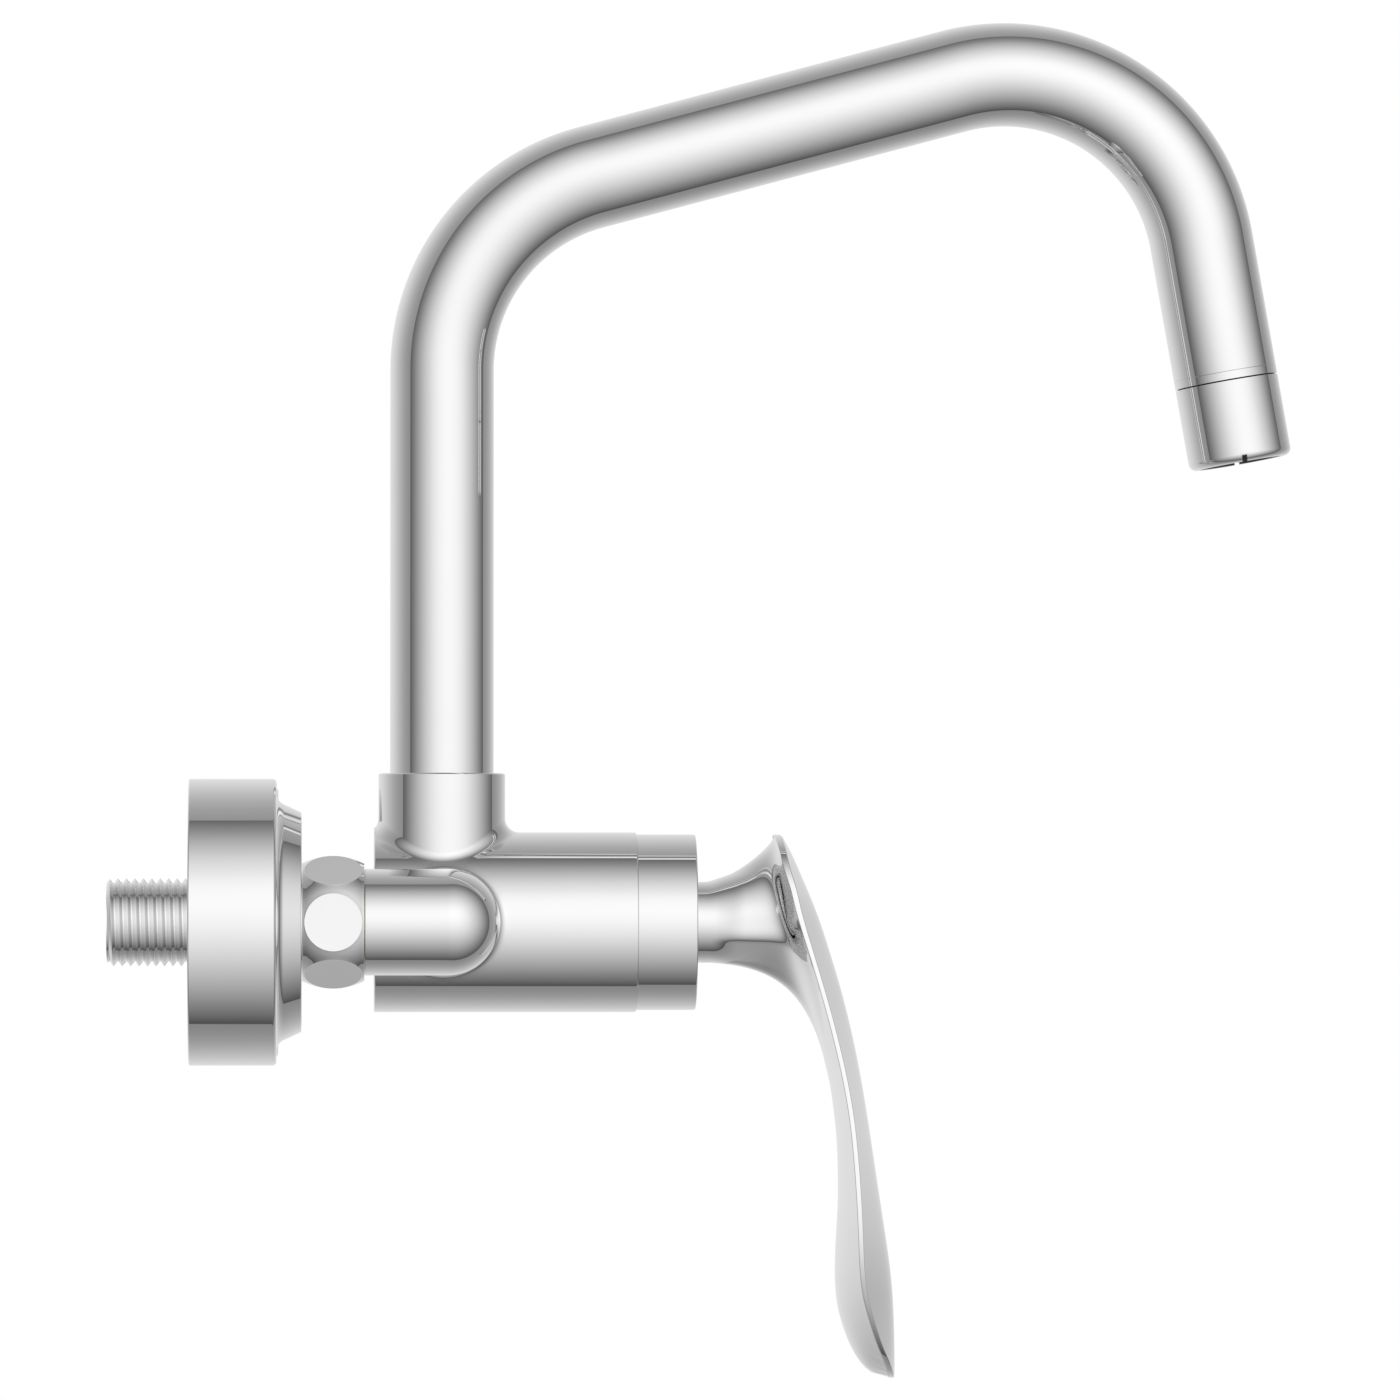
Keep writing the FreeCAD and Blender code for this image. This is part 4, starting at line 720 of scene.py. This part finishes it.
def body_socket(skin, cut):
    """Spout socket with its fillet, trimmed by the barrel's rear; returns the joint outlines."""
    reach = SOCKET_RADIUS + SOCKET_FILLET
    limit = math.acos((cut - SPOUT_REACH) / reach)
    turns = np.sort(np.append(-math.pi + circle_angles(FINE), [-limit, limit]))
    centres, on_barrel, on_socket = ball_rolled(SOCKET_RADIUS, SOCKET_FILLET, turns)
    trimmed = np.abs(turns) > limit + 1e-9
    start = np.where(trimmed, share_reached(centres, on_barrel, on_socket, cut - SPOUT_REACH), 0)

    def placed(points):
        up, along, out = points[..., 0], points[..., 1], points[..., 2]
        return points_at(out, -(SPOUT_REACH + along), up)

    rows = [placed(row) for row in fillet_rows(centres, on_barrel, on_socket, SOCKET_FILLET, 10, start)]
    rows[0][trimmed, 1] = -cut
    side, along = SOCKET_RADIUS * np.sin(turns), SOCKET_RADIUS * np.cos(turns)
    top = SOCKET_TOP - EDGE
    for share in np.linspace(0, 1, 5)[1:]:
        up = on_socket[:, 0] + (top - on_socket[:, 0]) * share
        rows.append(placed(points_at(up, along, side)))
    for radius, up in rounded([
            (SOCKET_RADIUS, top, 0), (SOCKET_RADIUS - 0.27, SOCKET_TOP, 0.03),
            (SLIP_RING_SEAT, SOCKET_TOP, 0.1), (SLIP_RING_SEAT, TUBE_START - 1, 0),
            (SOCKET_BORE, TUBE_START - 1, 0), (SOCKET_BORE, SOCKET_FLOOR, 0)])[1:]:
        scale = radius / SOCKET_RADIUS
        rows.append(placed(points_at(up, along * scale, side * scale)))
    skin.grid(rows, lid=True)
    notch = unrolled(placed(on_barrel))[~trimmed]
    notch[0, 1] = notch[-1, 1] = cut
    first, last = np.flatnonzero(~trimmed)[[0, -1]]
    bump = np.vstack([rows[0][:first + 1][::-1], rows[0][last:][::-1]])
    bump[:, 1] = -cut
    ends = (notch[0, 0] / BARREL_RADIUS, notch[-1, 0] / BARREL_RADIUS)
    return notch, bump, ends


def cover_ring():
    """Ring in front of the barrel, its mouth drawn in to the lever's dome with room for the tilt."""
    back = front_of("cartridge_nut") + 0.4
    outside = [(BARREL_BORE, BARREL_FRONT, 0), (RING_RADIUS, BARREL_FRONT, 0.2),
               (RING_RADIUS, RING_FRONT, 0.45), (19.0, RING_FRONT, 0)]
    mouth = [outside[-1], (18.8, RING_FRONT, 0.1), (15.75, RING_FRONT - 3.1, 0.5), (15.1, back + 0.8, 0.2),
             (15.6, back, 0.2), (BARREL_BORE, back, 0), outside[0]]
    skin = turned_in_two(forward_axis(), (outside, mouth))
    skin.build("barrel_ring", "cover_ring", "root", second=SATIN)


# Spout


def spout_route():
    """Stations of the spout's centre line as (reach, height, ahead, up), and where the outlet ends."""
    stations = [(SPOUT_REACH, TUBE_START, 0.0, 1.0)]

    def straight(length, count):
        reach, height, ahead, up = stations[-1]
        for run in np.linspace(0, length, count)[1:]:
            stations.append((reach + ahead * run, height + up * run, ahead, up))

    def bend(turn, count):
        """Bend forward and down by an angle."""
        reach, height, ahead, up = stations[-1]
        reach, height = reach + up * BEND_RADIUS, height - ahead * BEND_RADIUS
        for angle in math.atan2(ahead, -up) - np.linspace(0, turn, count)[1:]:
            stations.append((reach + BEND_RADIUS * math.cos(angle), height + BEND_RADIUS * math.sin(angle),
                             math.sin(angle), -math.cos(angle)))

    straight(RISER_TOP - TUBE_START, 14)
    bend(math.pi / 2 - SPOUT_RISE, 46)
    straight(SPOUT_RUN, 12)
    bend(math.pi / 2 + SPOUT_RISE - OUTLET_LEAN, 60)
    rest = SHELL_LENGTH + FERRULE_BAND
    straight(OUTLET_RUN - rest, 6)
    reach, height, ahead, up = stations[-1]
    return stations, (reach + ahead * rest, height + up * rest)


ROUTE, OUTLET_END = spout_route()


def outlet_axis():
    """Axis up the down-run from the centre of its end."""
    along = (0, math.sin(OUTLET_LEAN), math.cos(OUTLET_LEAN))
    return Axis((0, -OUTLET_END[0], OUTLET_END[1]), along)


def spout_tube():
    angles = circle_angles(COARSE)
    edge = 0.12
    axes = [Axis((0, -reach, height), (0, -ahead, up)) for reach, height, ahead, up in ROUTE]
    edge_arc = [(edge * (1 - math.sin(a)), edge * (1 - math.cos(a))) for a in np.linspace(0, math.pi / 2, 4)]
    rows = [axes[0].ring(TUBE_RADIUS - inward, along, angles) for inward, along in edge_arc]
    rows += [axis.ring(TUBE_RADIUS, 0, angles) for axis in axes[1:-1]]
    rows += [axes[-1].ring(TUBE_RADIUS - inward, -along, angles) for inward, along in edge_arc[::-1]]
    rows += [axis.ring(TUBE_BORE, 0, angles) for axis in axes[::-1]]
    skin = Skin()
    skin.grid(rows, round_columns=True)
    skin.build("spout_pipe", "spout_tube", "spout")


def slotted_ring(axis, radius, along):
    """Ring with two slots across it, whose points are lifted to the slots' floor."""
    slot = math.asin(SLOT_HALF / radius)
    angles, heights = [], []
    for start in (0, math.pi):
        angles += [start + slot * share for share in (-1, -0.5, 0, 0.5, 1)]
        heights += [max(along, SLOT_DEPTH)] * 5
        angles += list(np.linspace(start + slot, start + math.pi - slot, FINE // 2))
        heights += [along] * (FINE // 2)
    return axis.ring(radius, np.array(heights), np.array(angles))


def outlet_pieces():
    """Ferrule band above and the aerator's shell, its rim slotted for a key; the ferrule's inner sleeve is
    black as painted shade in the joint.
    """
    axis = outlet_axis()
    band_foot, band_top = SHELL_LENGTH + SHELL_JOINT, SHELL_LENGTH + FERRULE_BAND
    washer_top = 9.9
    band = [(TUBE_RADIUS - 0.4, band_foot, 0), (TUBE_RADIUS, band_foot, 0.05), (TUBE_RADIUS, band_top, 0.1),
            (TUBE_BORE - 0.05, band_top, 0)]
    shaded_sleeve = [band[-1], (TUBE_BORE - 0.05, band_top + 9, 0.3), (8.5, band_top + 9, 0.3),
              (8.5, washer_top, 0.2), (10.9, washer_top, 0.3), (10.9, band_foot, 0), band[0]]
    skin = turned_in_two(axis, (band, shaded_sleeve), COARSE)
    # The sleeve's faces take the black rubber: painted shade that darkens the joint's gap between the
    # ferrule band and the shell.
    skin.build("spout_ferrule", "outlet_ferrule", "spout", second=MATERIALS["black_rubber"])

    shell = Skin()
    outline = rounded([
        (10.3, 0, 0.25), (10.3, 1.6, 0), (11.0, 1.6, 0), (11.0, SHELL_LENGTH, 0),
        (TUBE_RADIUS, SHELL_LENGTH, 0.05), (TUBE_RADIUS, 0, 1.9)], steps=8, closed=True)
    shell.grid([slotted_ring(axis, radius, along) for radius, along in outline], round_columns=True)
    shell.build("outlet_shell", "aerator_shell", "spout")


def jet_former():
    """Black insert: slotted rim round a recessed face with two rings of jets round a middle one."""
    axis = outlet_axis()
    places = [(0.0, 0.0)]
    places += [(3.5 * math.cos(a), 3.5 * math.sin(a)) for a in circle_angles(6)]
    places += [(6.8 * math.cos(a), 6.8 * math.sin(a)) for a in circle_angles(12)]
    jet = circle_angles(20)
    jet_radius, face, bore, depth, back = 0.9, 2.0, 8.9, 5.0, 7.9
    holes = [points_at(x + jet_radius * np.cos(jet), y + jet_radius * np.sin(jet)) for x, y in places]
    wall = slotted_ring(axis, bore, face) - axis.origin
    outer = points_at(wall @ axis.side, wall @ axis.third)
    outer = outer[np.hypot(*(outer - np.roll(outer, 1, axis=0)).T) > WELD / MM]
    flat, faces = panel(outer, holes, 0.8)

    def placed(points, along):
        points = np.asarray(points)
        return (axis.origin + along * axis.along + points[:, :1] * axis.side
                + points[:, 1:] * axis.third)

    skin = Skin()
    skin.add(placed(flat, face), faces)
    for hole in holes:
        rows = [placed(hole, face + step) for step in (0, 0.1, depth)]
        skin.grid(rows, lid=True)
    outline = rounded([(bore, face, 0), (bore, 0.1, 0.15), (10.2, 0.1, 0.15), (10.2, 1.6, 0),
                       (10.9, 1.6, 0.1), (10.9, back, 0.2)])
    rows = [slotted_ring(axis, radius, along) for radius, along in outline]
    skin.grid(rows)
    lid = rows[-1][np.linalg.norm(rows[-1] - np.roll(rows[-1], 1, axis=0), axis=1) > WELD / MM]
    skin.disc(lid)
    skin.build("jet_former", "aerator_insert", "spout")


# Lever

# Plan outline of the blade's right half, from the middle of the top edge to the tip
BLADE_OUTLINE = [
    (0.0, 21.5), (4.0, 21.1), (7.6, 20.0), (11.0, 18.1), (13.6, 15.6), (15.6, 12.4), (16.9, 8.8),
    (17.9, 4.0), (18.9, -2.0), (20.4, -16.0), (21.5, -30.0), (22.8, -46.0), (23.7, -60.0),
    (24.0, -71.5), (22.9, -82.0), (20.0, -91.0), (16.1, -98.5), (11.7, -104.3), (8.2, -107.8),
    (4.4, -110.5), (0.0, LEVER_TIP),
]
# Reach of the middle of the blade's rim, of its front ridge and of its back, at their heights
BLADE_RIM = [
    (143.1, 21.5), (144.05, 17.5), (145.0, 13.0), (146.2, 8.9), (147.6, 3.1), (150.1, -5.7),
    (153.55, -17.3), (156.65, -29.0), (158.7, -38.2), (160.2, -46.9), (161.5, -59.5), (162.25, -71.5),
    (162.75, -82.0), (163.75, -90.7), (166.0, -98.5), (168.2, -104.3), (169.9, -108.0), (171.2, LEVER_TIP),
]
BLADE_FRONT = [
    (144.2, 21.5), (146.5, 17.3), (148.3, 13.4), (150.0, 9.5), (153.2, 1.6), (155.8, -6.2),
    (158.2, -14.1), (162.1, -29.7), (165.0, -45.4), (167.4, -61.1), (169.8, -76.8), (170.9, -84.6),
    (171.6, -92.5), (171.9, -100.3), (172.0, -108.2), (171.95, LEVER_TIP),
]
BLADE_BACK = [
    (142.3, 21.5), (143.75, 14.7), (146.0, 6.0), (149.0, -5.7), (151.4, -17.3), (153.7, -29.7),
    (155.8, -37.6), (157.1, -45.4), (157.9, -53.3), (158.2, -62.0), (158.15, -69.0), (157.7, -76.8),
    (157.4, -84.6), (157.8, -92.5), (159.8, -100.3), (164.0, -108.2), (170.55, LEVER_TIP),
]
BLADE_THICKNESS = 1.3
BLADE_EDGE = 0.22
CROWN = 5.0
# Reaches along the stem where its keel and the two parts of its flare start, then the place
# where it would meet the blade's back, and its fillet's foot
STEM_RADIUS = 9.9
STEM_START = 125.0
KEEL_START = 126.5
KEEL_LENGTH = 7.0
SWELL_START = 127.5
SWELL_LENGTH = 7.5
SWELL_SHARE = 0.44
FLARE_START = 131.0
MEET_HALF = 11.6
MEET_MIDDLE = 1.0
MEET_TOP = 15.9
MEET_BOTTOM = -12.0
FOOT_BOTTOM = -38.0
FOOT_MARGIN = 0.2


class Blade:
    """The blade's faces as reaches over its plan."""

    def __init__(self):
        side = np.array(BLADE_OUTLINE)
        loop = np.vstack([side, side[-2:0:-1] * [-1, 1]])
        steps = np.hypot(*(np.roll(loop, -1, axis=0) - loop).T)
        places = np.concatenate([[0], np.cumsum(steps)[:-1]])
        length = steps.sum()
        count = 420
        at = np.arange(count) / count * length
        rounds = np.concatenate([places - length, places, places + length])
        self.outline = points_at(*(spline(rounds, np.tile(loop[:, k], 3))(at) for k in (0, 1)))
        half = self.inset(BLADE_EDGE)[:count // 2 + 1]
        self.half_height = half[::-1, 1]
        self.half_value = np.maximum(half[::-1, 0], 0)
        self.rim = self.curve(BLADE_RIM)
        self.ridge = self.curve(BLADE_FRONT)
        back = np.array(BLADE_BACK)
        bent = spline(np.sqrt(back[:, 1] - LEVER_TIP), back[:, 0])
        self.back_line = lambda height: bent(np.sqrt(np.maximum(height - LEVER_TIP, 0)))

    @staticmethod
    def curve(points):
        points = np.array(points)
        return spline(points[:, 1], points[:, 0])

    def half_at(self, height):
        return np.interp(height, self.half_height, self.half_value)

    def thickness(self, height):
        return BLADE_THICKNESS + 0.4 * np.clip((height + 10) / 30, 0, 1)

    def rim_reach(self, height, face):
        return self.rim(height) + face * self.thickness(height) / 2

    def reach(self, across, height, face):
        """Reach of the front (face 1) or the back (face -1)."""
        half = np.maximum(self.half_at(height), 1e-6)
        edge = self.rim_reach(height, face)
        middle = self.ridge(height) if face > 0 else self.back_line(height)
        bulge = np.maximum((middle - edge) * face, 0)
        bulge = bulge * (1 - (1 - np.clip(half / 3, 0, 1)) ** 2)
        crown = CROWN if face > 0 else 3 * CROWN
        drop = np.sqrt(across ** 2 + crown ** 2) - crown
        full = np.sqrt(half ** 2 + crown ** 2) - crown
        return edge + face * bulge * np.clip(1 - drop / np.maximum(full, 1e-9), 0, 1)

    def inset(self, distance):
        """The outline moved inwards."""
        ahead = np.roll(self.outline, -1, axis=0) - np.roll(self.outline, 1, axis=0)
        ahead = ahead / np.hypot(*ahead.T)[:, None]
        return self.outline + points_at(ahead[:, 1], -ahead[:, 0]) * distance

    @staticmethod
    def placed(plan, reach):
        return points_at(plan[:, 0], -reach, plan[:, 1])


def blade_front_rows(blade, outline):
    """Rows from the rim's inner edge to the spine, finer towards the rim."""
    spine_margin, steps = 9, 24
    low, high = outline[:, 1].min() + spine_margin, outline[:, 1].max() - spine_margin
    share = (outline[:, 1] - outline[:, 1].min()) / np.ptp(outline[:, 1])
    spine = points_at(0, low + (high - low) * share)
    rows = []
    for k in range(steps + 1):
        t = (k / steps) ** 1.15
        plan = outline + (spine - outline) * t
        rows.append(blade.placed(plan, blade.reach(np.abs(plan[:, 0]), plan[:, 1], 1)))
    return rows


def rim_rows(blade):
    """The rim band between the two faces, with its small edge roundings."""
    rows = []
    for face in (1, -1):
        arcs = []
        for k in range(4):
            angle = k * math.pi / 6
            plan = blade.inset(BLADE_EDGE * (1 - math.sin(angle)))
            edge = blade.rim_reach(blade.outline[:, 1], face)
            arcs.append(blade.placed(plan, edge - face * BLADE_EDGE * (1 - math.cos(angle))))
        rows += arcs if face > 0 else arcs[::-1]
    return rows


def eased(share):
    """Smooth step from 0 to 1."""
    share = np.clip(share, 0, 1)
    return share * share * (3 - 2 * share)


def keel(depth):
    """Half width of the stem's lower half against depth: a flat side, then flanks to a soft keel."""
    turn_in, drop, softness = 0.45, 0.1, 0.25
    side = 1 - drop * (depth / turn_in) ** 4
    flank = np.clip(np.where(depth < turn_in, side, (1 - drop) * (1 - depth) / (1 - turn_in)), 0, 1)
    return np.sqrt(flank * (flank + 2 * softness) / (1 + 2 * softness))


def stem_meeting(turns):
    """Plan of the stem where it meets the blade: round above, keeled below."""
    up, across = np.cos(turns), np.sin(turns)
    side = MEET_HALF * np.where(up > 0, across, np.sign(across) * keel(-up))
    height = MEET_MIDDLE + np.where(up > 0, MEET_TOP - MEET_MIDDLE, MEET_MIDDLE - MEET_BOTTOM) * up
    return points_at(side, height)


def stem_foot(blade, turns):
    """Plan of the line where the stem's fillet ends: beside the rim above, an oval below."""
    rim = blade.inset(BLADE_EDGE)
    around = np.arctan2(rim[:, 0], rim[:, 1])
    order = np.argsort(around)
    far = np.interp(turns, around[order], np.hypot(*rim.T)[order], period=2 * math.pi) - FOOT_MARGIN
    up, across = np.cos(turns), np.sin(turns)
    side = np.interp(math.pi / 2, turns, far)
    low = points_at(side * across, -FOOT_BOTTOM * up)
    return np.where(up[:, None] > -1e-9, far[:, None] * points_at(across, up), low)


def stem_rows(blade, turns):
    """Rows from the collar along the stem, then round its fillet into the blade's back."""
    up, across = np.cos(turns), np.sin(turns)
    above, below = np.maximum(up, 0) ** 4, np.maximum(-up, 0) ** 4
    meeting = stem_meeting(turns)
    meeting_reach = blade.reach(np.abs(meeting[:, 0]), meeting[:, 1], -1)

    def round_stem(sides, top, bottom):
        """A value that runs from the stem's sides to its top and its bottom."""
        return sides + (top - sides) * above + (bottom - sides) * below

    setback = round_stem(9.7, 12.3, 21.2)
    weight = round_stem(2.4, 0.3, 1.22)
    lean = round_stem(3.0, 0.0, 0.0)
    run_in = 0.14

    def along(share):
        """Point of each line at a share of the way from the collar to the meeting."""
        reach = STEM_START + (meeting_reach - STEM_START) * share
        flare = np.clip((reach - FLARE_START) / (meeting_reach - FLARE_START), 0, 1) ** 1.5
        swell = eased((reach - SWELL_START) / SWELL_LENGTH)
        widening = SWELL_SHARE * swell + (1 - SWELL_SHARE) * flare
        width = STEM_RADIUS + (MEET_HALF - STEM_RADIUS) * widening
        keeled = eased((reach - KEEL_START) / KEEL_LENGTH)
        below_side = np.abs(across) + (keel(-up) - np.abs(across)) * keeled
        side = width * np.where(up > 0, across, np.sign(across) * below_side)
        rise = np.where(share < run_in, share ** 2 / (2 * run_in), share - run_in / 2) / (1 - run_in / 2)
        height = STEM_RADIUS * up + (meeting[:, 1] - STEM_RADIUS * up) * rise
        return points_at(side, -reach, height)

    last = 1 - setback / (meeting_reach - STEM_START)
    rows = [along(last * share) for share in np.linspace(0, 1, 20)]
    begin = rows[-1]
    bend = along(1 - lean / (meeting_reach - STEM_START))
    foot = stem_foot(blade, turns)
    end = blade.placed(foot, blade.reach(np.abs(foot[:, 0]), foot[:, 1], -1))
    for share in np.linspace(0, 1, 21)[1:]:
        parts = ((1 - share) ** 2, 2 * share * (1 - share) * weight, share ** 2)
        mixed = parts[0] * begin + parts[1][:, None] * bend + parts[2] * end
        rows.append(mixed / sum(parts)[:, None])
    return rows, foot


def lever():
    """Dome skirt, stem and blade as one skin, the stem run into the blade's back by a fillet."""
    blade = Blade()
    skin = Skin()
    turns = circle_angles(128)

    skirt_radius, wall, socket_ahead, neck_end = 15.5, 1.0, 8.6, 123.0
    inner = skirt_radius - wall
    edge_angle = math.radians(75)
    outline = []
    for radius, angles in (
            (inner, np.linspace(math.acos(socket_ahead / inner), edge_angle, 12)),
            (skirt_radius, np.linspace(edge_angle, math.asin(STEM_RADIUS / skirt_radius), 16))):
        outline += [(radius * math.sin(a), PIVOT_REACH + radius * math.cos(a)) for a in angles]
    outline += [(STEM_RADIUS, neck_end), (STEM_RADIUS, STEM_START)]
    rows = [round_middle(radius, reach, turns) for radius, reach in outline]
    skin.grid(rows)
    socket_face(skin, rows[0], PIVOT_REACH + socket_ahead)
    rows, foot = stem_rows(blade, turns)
    skin.grid(rows)
    inset = blade.inset(BLADE_EDGE)
    flat, faces = panel(inset, [foot], 1.3)
    skin.add(blade.placed(flat, blade.reach(np.abs(flat[:, 0]), flat[:, 1], -1)), faces)
    skin.grid(rim_rows(blade))
    skin.grid(blade_front_rows(blade, inset))
    skin.build("lever_handle", "lever", "lever", crease=38)


def socket_face(skin, ring, reach):
    """Face behind the skirt with the square socket of the spindle."""
    half, depth = 4.05, 11.5
    square = np.array([(half, half), (-half, half), (-half, -half), (half, -half)])
    steps = np.linspace(0, 1, 9)[:-1]
    hole = np.vstack([square[k] + (square[(k + 1) % 4] - square[k]) * s for k in range(4) for s in steps])
    outer = points_at(ring[:, 0], ring[:, 2])
    flat, faces = panel(outer, [hole], 1.6)
    skin.add(points_at(flat[:, 0], -reach, flat[:, 1]), faces)
    rows = [points_at(hole[:, 0], -(reach + step), hole[:, 1]) for step in (0, depth)]
    skin.grid(rows, lid=True)


def lever_cap():
    """Plug of the lever's screw hole, flush with the underside of the stem."""
    axis = Axis((0, -LEVER_SCREW_REACH, 0), (0, 0, -1))
    stand_off = 0.03
    angles = circle_angles(COARSE)
    rows = []
    for radius, sunk in ((0, 0), (1.5, 0), (3, 0), (3.12, 0.03), (3.2, 0.15), (3.2, 1.2), (0, 1.2)):
        surface = np.sqrt((STEM_RADIUS + stand_off) ** 2 - (radius * np.cos(angles)) ** 2)
        rows.append(axis.ring(radius, surface - sunk, angles))
    skin = Skin()
    skin.grid(rows)
    skin.build("screw_plug", "lever_screw_cap", "lever")


def grub_screw(name, node, axis, length, body):
    """Socket set screw with a chamfered end and a hexagon recess."""
    radius, across_flats, depth = 2.5, 2.5, 2.0
    angles = circle_angles(48)
    hexagon = hexagon_radius(across_flats / 2, angles)
    rows = axis.rings([
        (1.2, length), (2.1, length), (radius, length - 0.4), (radius, 0.35), (2.2, 0.0),
        (hexagon * 1.06, 0.0), (hexagon, 0.12), (hexagon, depth)], angles)
    skin = Skin()
    skin.grid(rows)
    skin.disc(rows[0])
    skin.disc(rows[-1])
    skin.build(name, node, body)


def small_screws():
    rear = rear_of("spout_grub_screw")
    height = (corner("spout_grub_screw", 0, "z") + corner("spout_grub_screw", 1, "z")) / 2
    length = front_of("spout_grub_screw") - rear
    grub_screw("socket_screw", "spout_grub_screw", Axis((0, -rear, height), (0, -1, 0)), length, "root")
    low = corner("lever_grub_screw", 0, "z")
    length = corner("lever_grub_screw", 1, "z") - low
    grub_screw("lever_screw", "lever_grub_screw", Axis((0, -LEVER_SCREW_REACH, low), (0, 0, 1)), length,
               "lever")


# Studio

CAMERA_DISTANCE = 2467.0
CAMERA_REACH = 28.27
FRAME_CENTRE = (0.0, 124.3, 54.5)
FRAME_WIDTH = 1400 / 4.081
SENSOR = 36.0


def photograph_camera():
    """Camera square to the tap's side, aimed at the middle of the photograph's frame."""
    data = bpy.data.cameras.new("camera")
    data.sensor_width = SENSOR
    position = Vector((-CAMERA_DISTANCE, -CAMERA_REACH, 0)) * MM
    target = Vector((FRAME_CENTRE[0], -FRAME_CENTRE[1], FRAME_CENTRE[2])) * MM
    aim = target - position
    data.lens = SENSOR * CAMERA_DISTANCE / FRAME_WIDTH
    data.clip_end = 100
    camera = bpy.data.objects.new("camera", data)
    camera.location = position
    camera.rotation_mode = "QUATERNION"
    camera.rotation_quaternion = aim.to_track_quat("-Z", "Y")
    bpy.context.scene.collection.objects.link(camera)
    bpy.context.scene.camera = camera


# Brightness that mirrors see, against the cosine from the soft box beside the camera: the level
# at eye height and how much more there is straight above it
BOX_HEADING = math.radians(14)
STUDIO_LEVEL = [
    (-1.0, 0.81), (-0.86, 0.73), (-0.6, 0.555), (-0.38, 0.425), (-0.2, 0.35), (-0.002, 0.3),
    (0.002, 0.115), (0.2, 0.25), (0.34, 0.363), (0.5, 0.51), (0.73, 0.75), (0.87, 0.93), (1.0, 1.08),
]
STUDIO_RISE = [
    (-1.0, 0.058), (0.0, 0.035), (0.2, 0.058), (0.5, 0.145), (0.73, 0.24), (0.87, 0.35), (1.0, 0.45),
]


def studio_world():
    """White backdrop, even soft light, and for mirrors a large soft box beside the camera."""
    world = bpy.data.worlds.new("studio")
    bpy.context.scene.world = world
    world.use_nodes = True
    tree = world.node_tree
    place = wired(tree, "TexCoord", {})["Generated"]
    facing = tree.nodes.new("ShaderNodeVectorMath")
    facing.operation = "DOT_PRODUCT"
    heading = (-math.cos(BOX_HEADING), -math.sin(BOX_HEADING), 0)
    cosine = wired(tree, facing, {0: place, 1: heading})["Value"]
    upward = wired(tree, "SeparateXYZ", {0: place})["Z"]

    def worked(operation, *terms):
        """Result of a sum of sources and plain numbers."""
        node = tree.nodes.new("ShaderNodeMath")
        node.operation = operation
        return wired(tree, node, dict(enumerate(terms)))["Value"]

    half = worked("MULTIPLY_ADD", cosine, 0.5, 0.5)

    def looked_up(steps):
        """Curve through (cosine, value) steps, kept at half size inside the node."""
        lookup = tree.nodes.new("ShaderNodeFloatCurve")
        lookup.mapping.use_clip = False
        curve = lookup.mapping.curves[0]
        places = [((cosine + 1) / 2, value / 2) for cosine, value in steps]
        curve.points[0].location = places[0]
        curve.points[1].location = places[-1]
        for place in places[1:-1]:
            curve.points.new(*place)
        for point in curve.points:
            point.handle_type = "VECTOR"
        lookup.mapping.update()
        return worked("MULTIPLY", wired(tree, lookup, {"Value": half})["Value"], 2.0)

    seen = worked("MULTIPLY_ADD", looked_up(STUDIO_RISE), upward, looked_up(STUDIO_LEVEL))
    rays = wired(tree, "LightPath", {})["Is Glossy Ray"]
    strength = wired(tree, "Mix", {"A": 1.0, "B": seen, "Factor": rays})["Result"]
    wired(tree, tree.nodes["Background"], {"Color": (1, 1, 1, 1), "Strength": strength})


def floor():
    """Pale floor well below the tap; mirrors look through it to the studio."""
    size, level = 60.0, -4.5
    mesh = bpy.data.meshes.new("floor")
    corners = [(size * x, size * y, level) for x, y in ((-1, -1), (1, -1), (1, 1), (-1, 1))]
    mesh.from_pydata(corners, [], [(0, 1, 2, 3)])
    material, tree, shader = new_material("pale_floor")
    colour = tinted(tree, noise(tree, 3.0), (0.93, 0.93, 0.93), (0.96, 0.96, 0.96))
    lit = wired(tree, shader, {"Base Color": colour, "Roughness": 0.9})["BSDF"]
    rays = wired(tree, "LightPath", {})["Is Glossy Ray"]
    clear = wired(tree, "BsdfTransparent", {})["BSDF"]
    seen = wired(tree, "MixShader", {0: rays, 1: lit, 2: clear})["Shader"]
    wired(tree, tree.nodes["Material Output"], {"Surface": seen})
    mesh.materials.append(material)
    ground = bpy.data.objects.new("floor", mesh)
    bpy.context.scene.collection.objects.link(ground)


dress_frame()
for side, across in (("left", -INLET_HALF_SPACING), ("right", INLET_HALF_SPACING)):
    wall_connector(side, across)
    escutcheon(side, across)
    union_nut(side, across)
body_casting()
cover_ring()
spout_tube()
outlet_pieces()
jet_former()
lever()
lever_cap()
small_screws()
floor()
photograph_camera()
studio_world()
bpy.context.scene.view_settings.view_transform = "Standard"
# Polished pieces that face each other need more reflections than usual
bpy.context.scene.cycles.max_bounces = 24
bpy.context.scene.cycles.glossy_bounces = 24
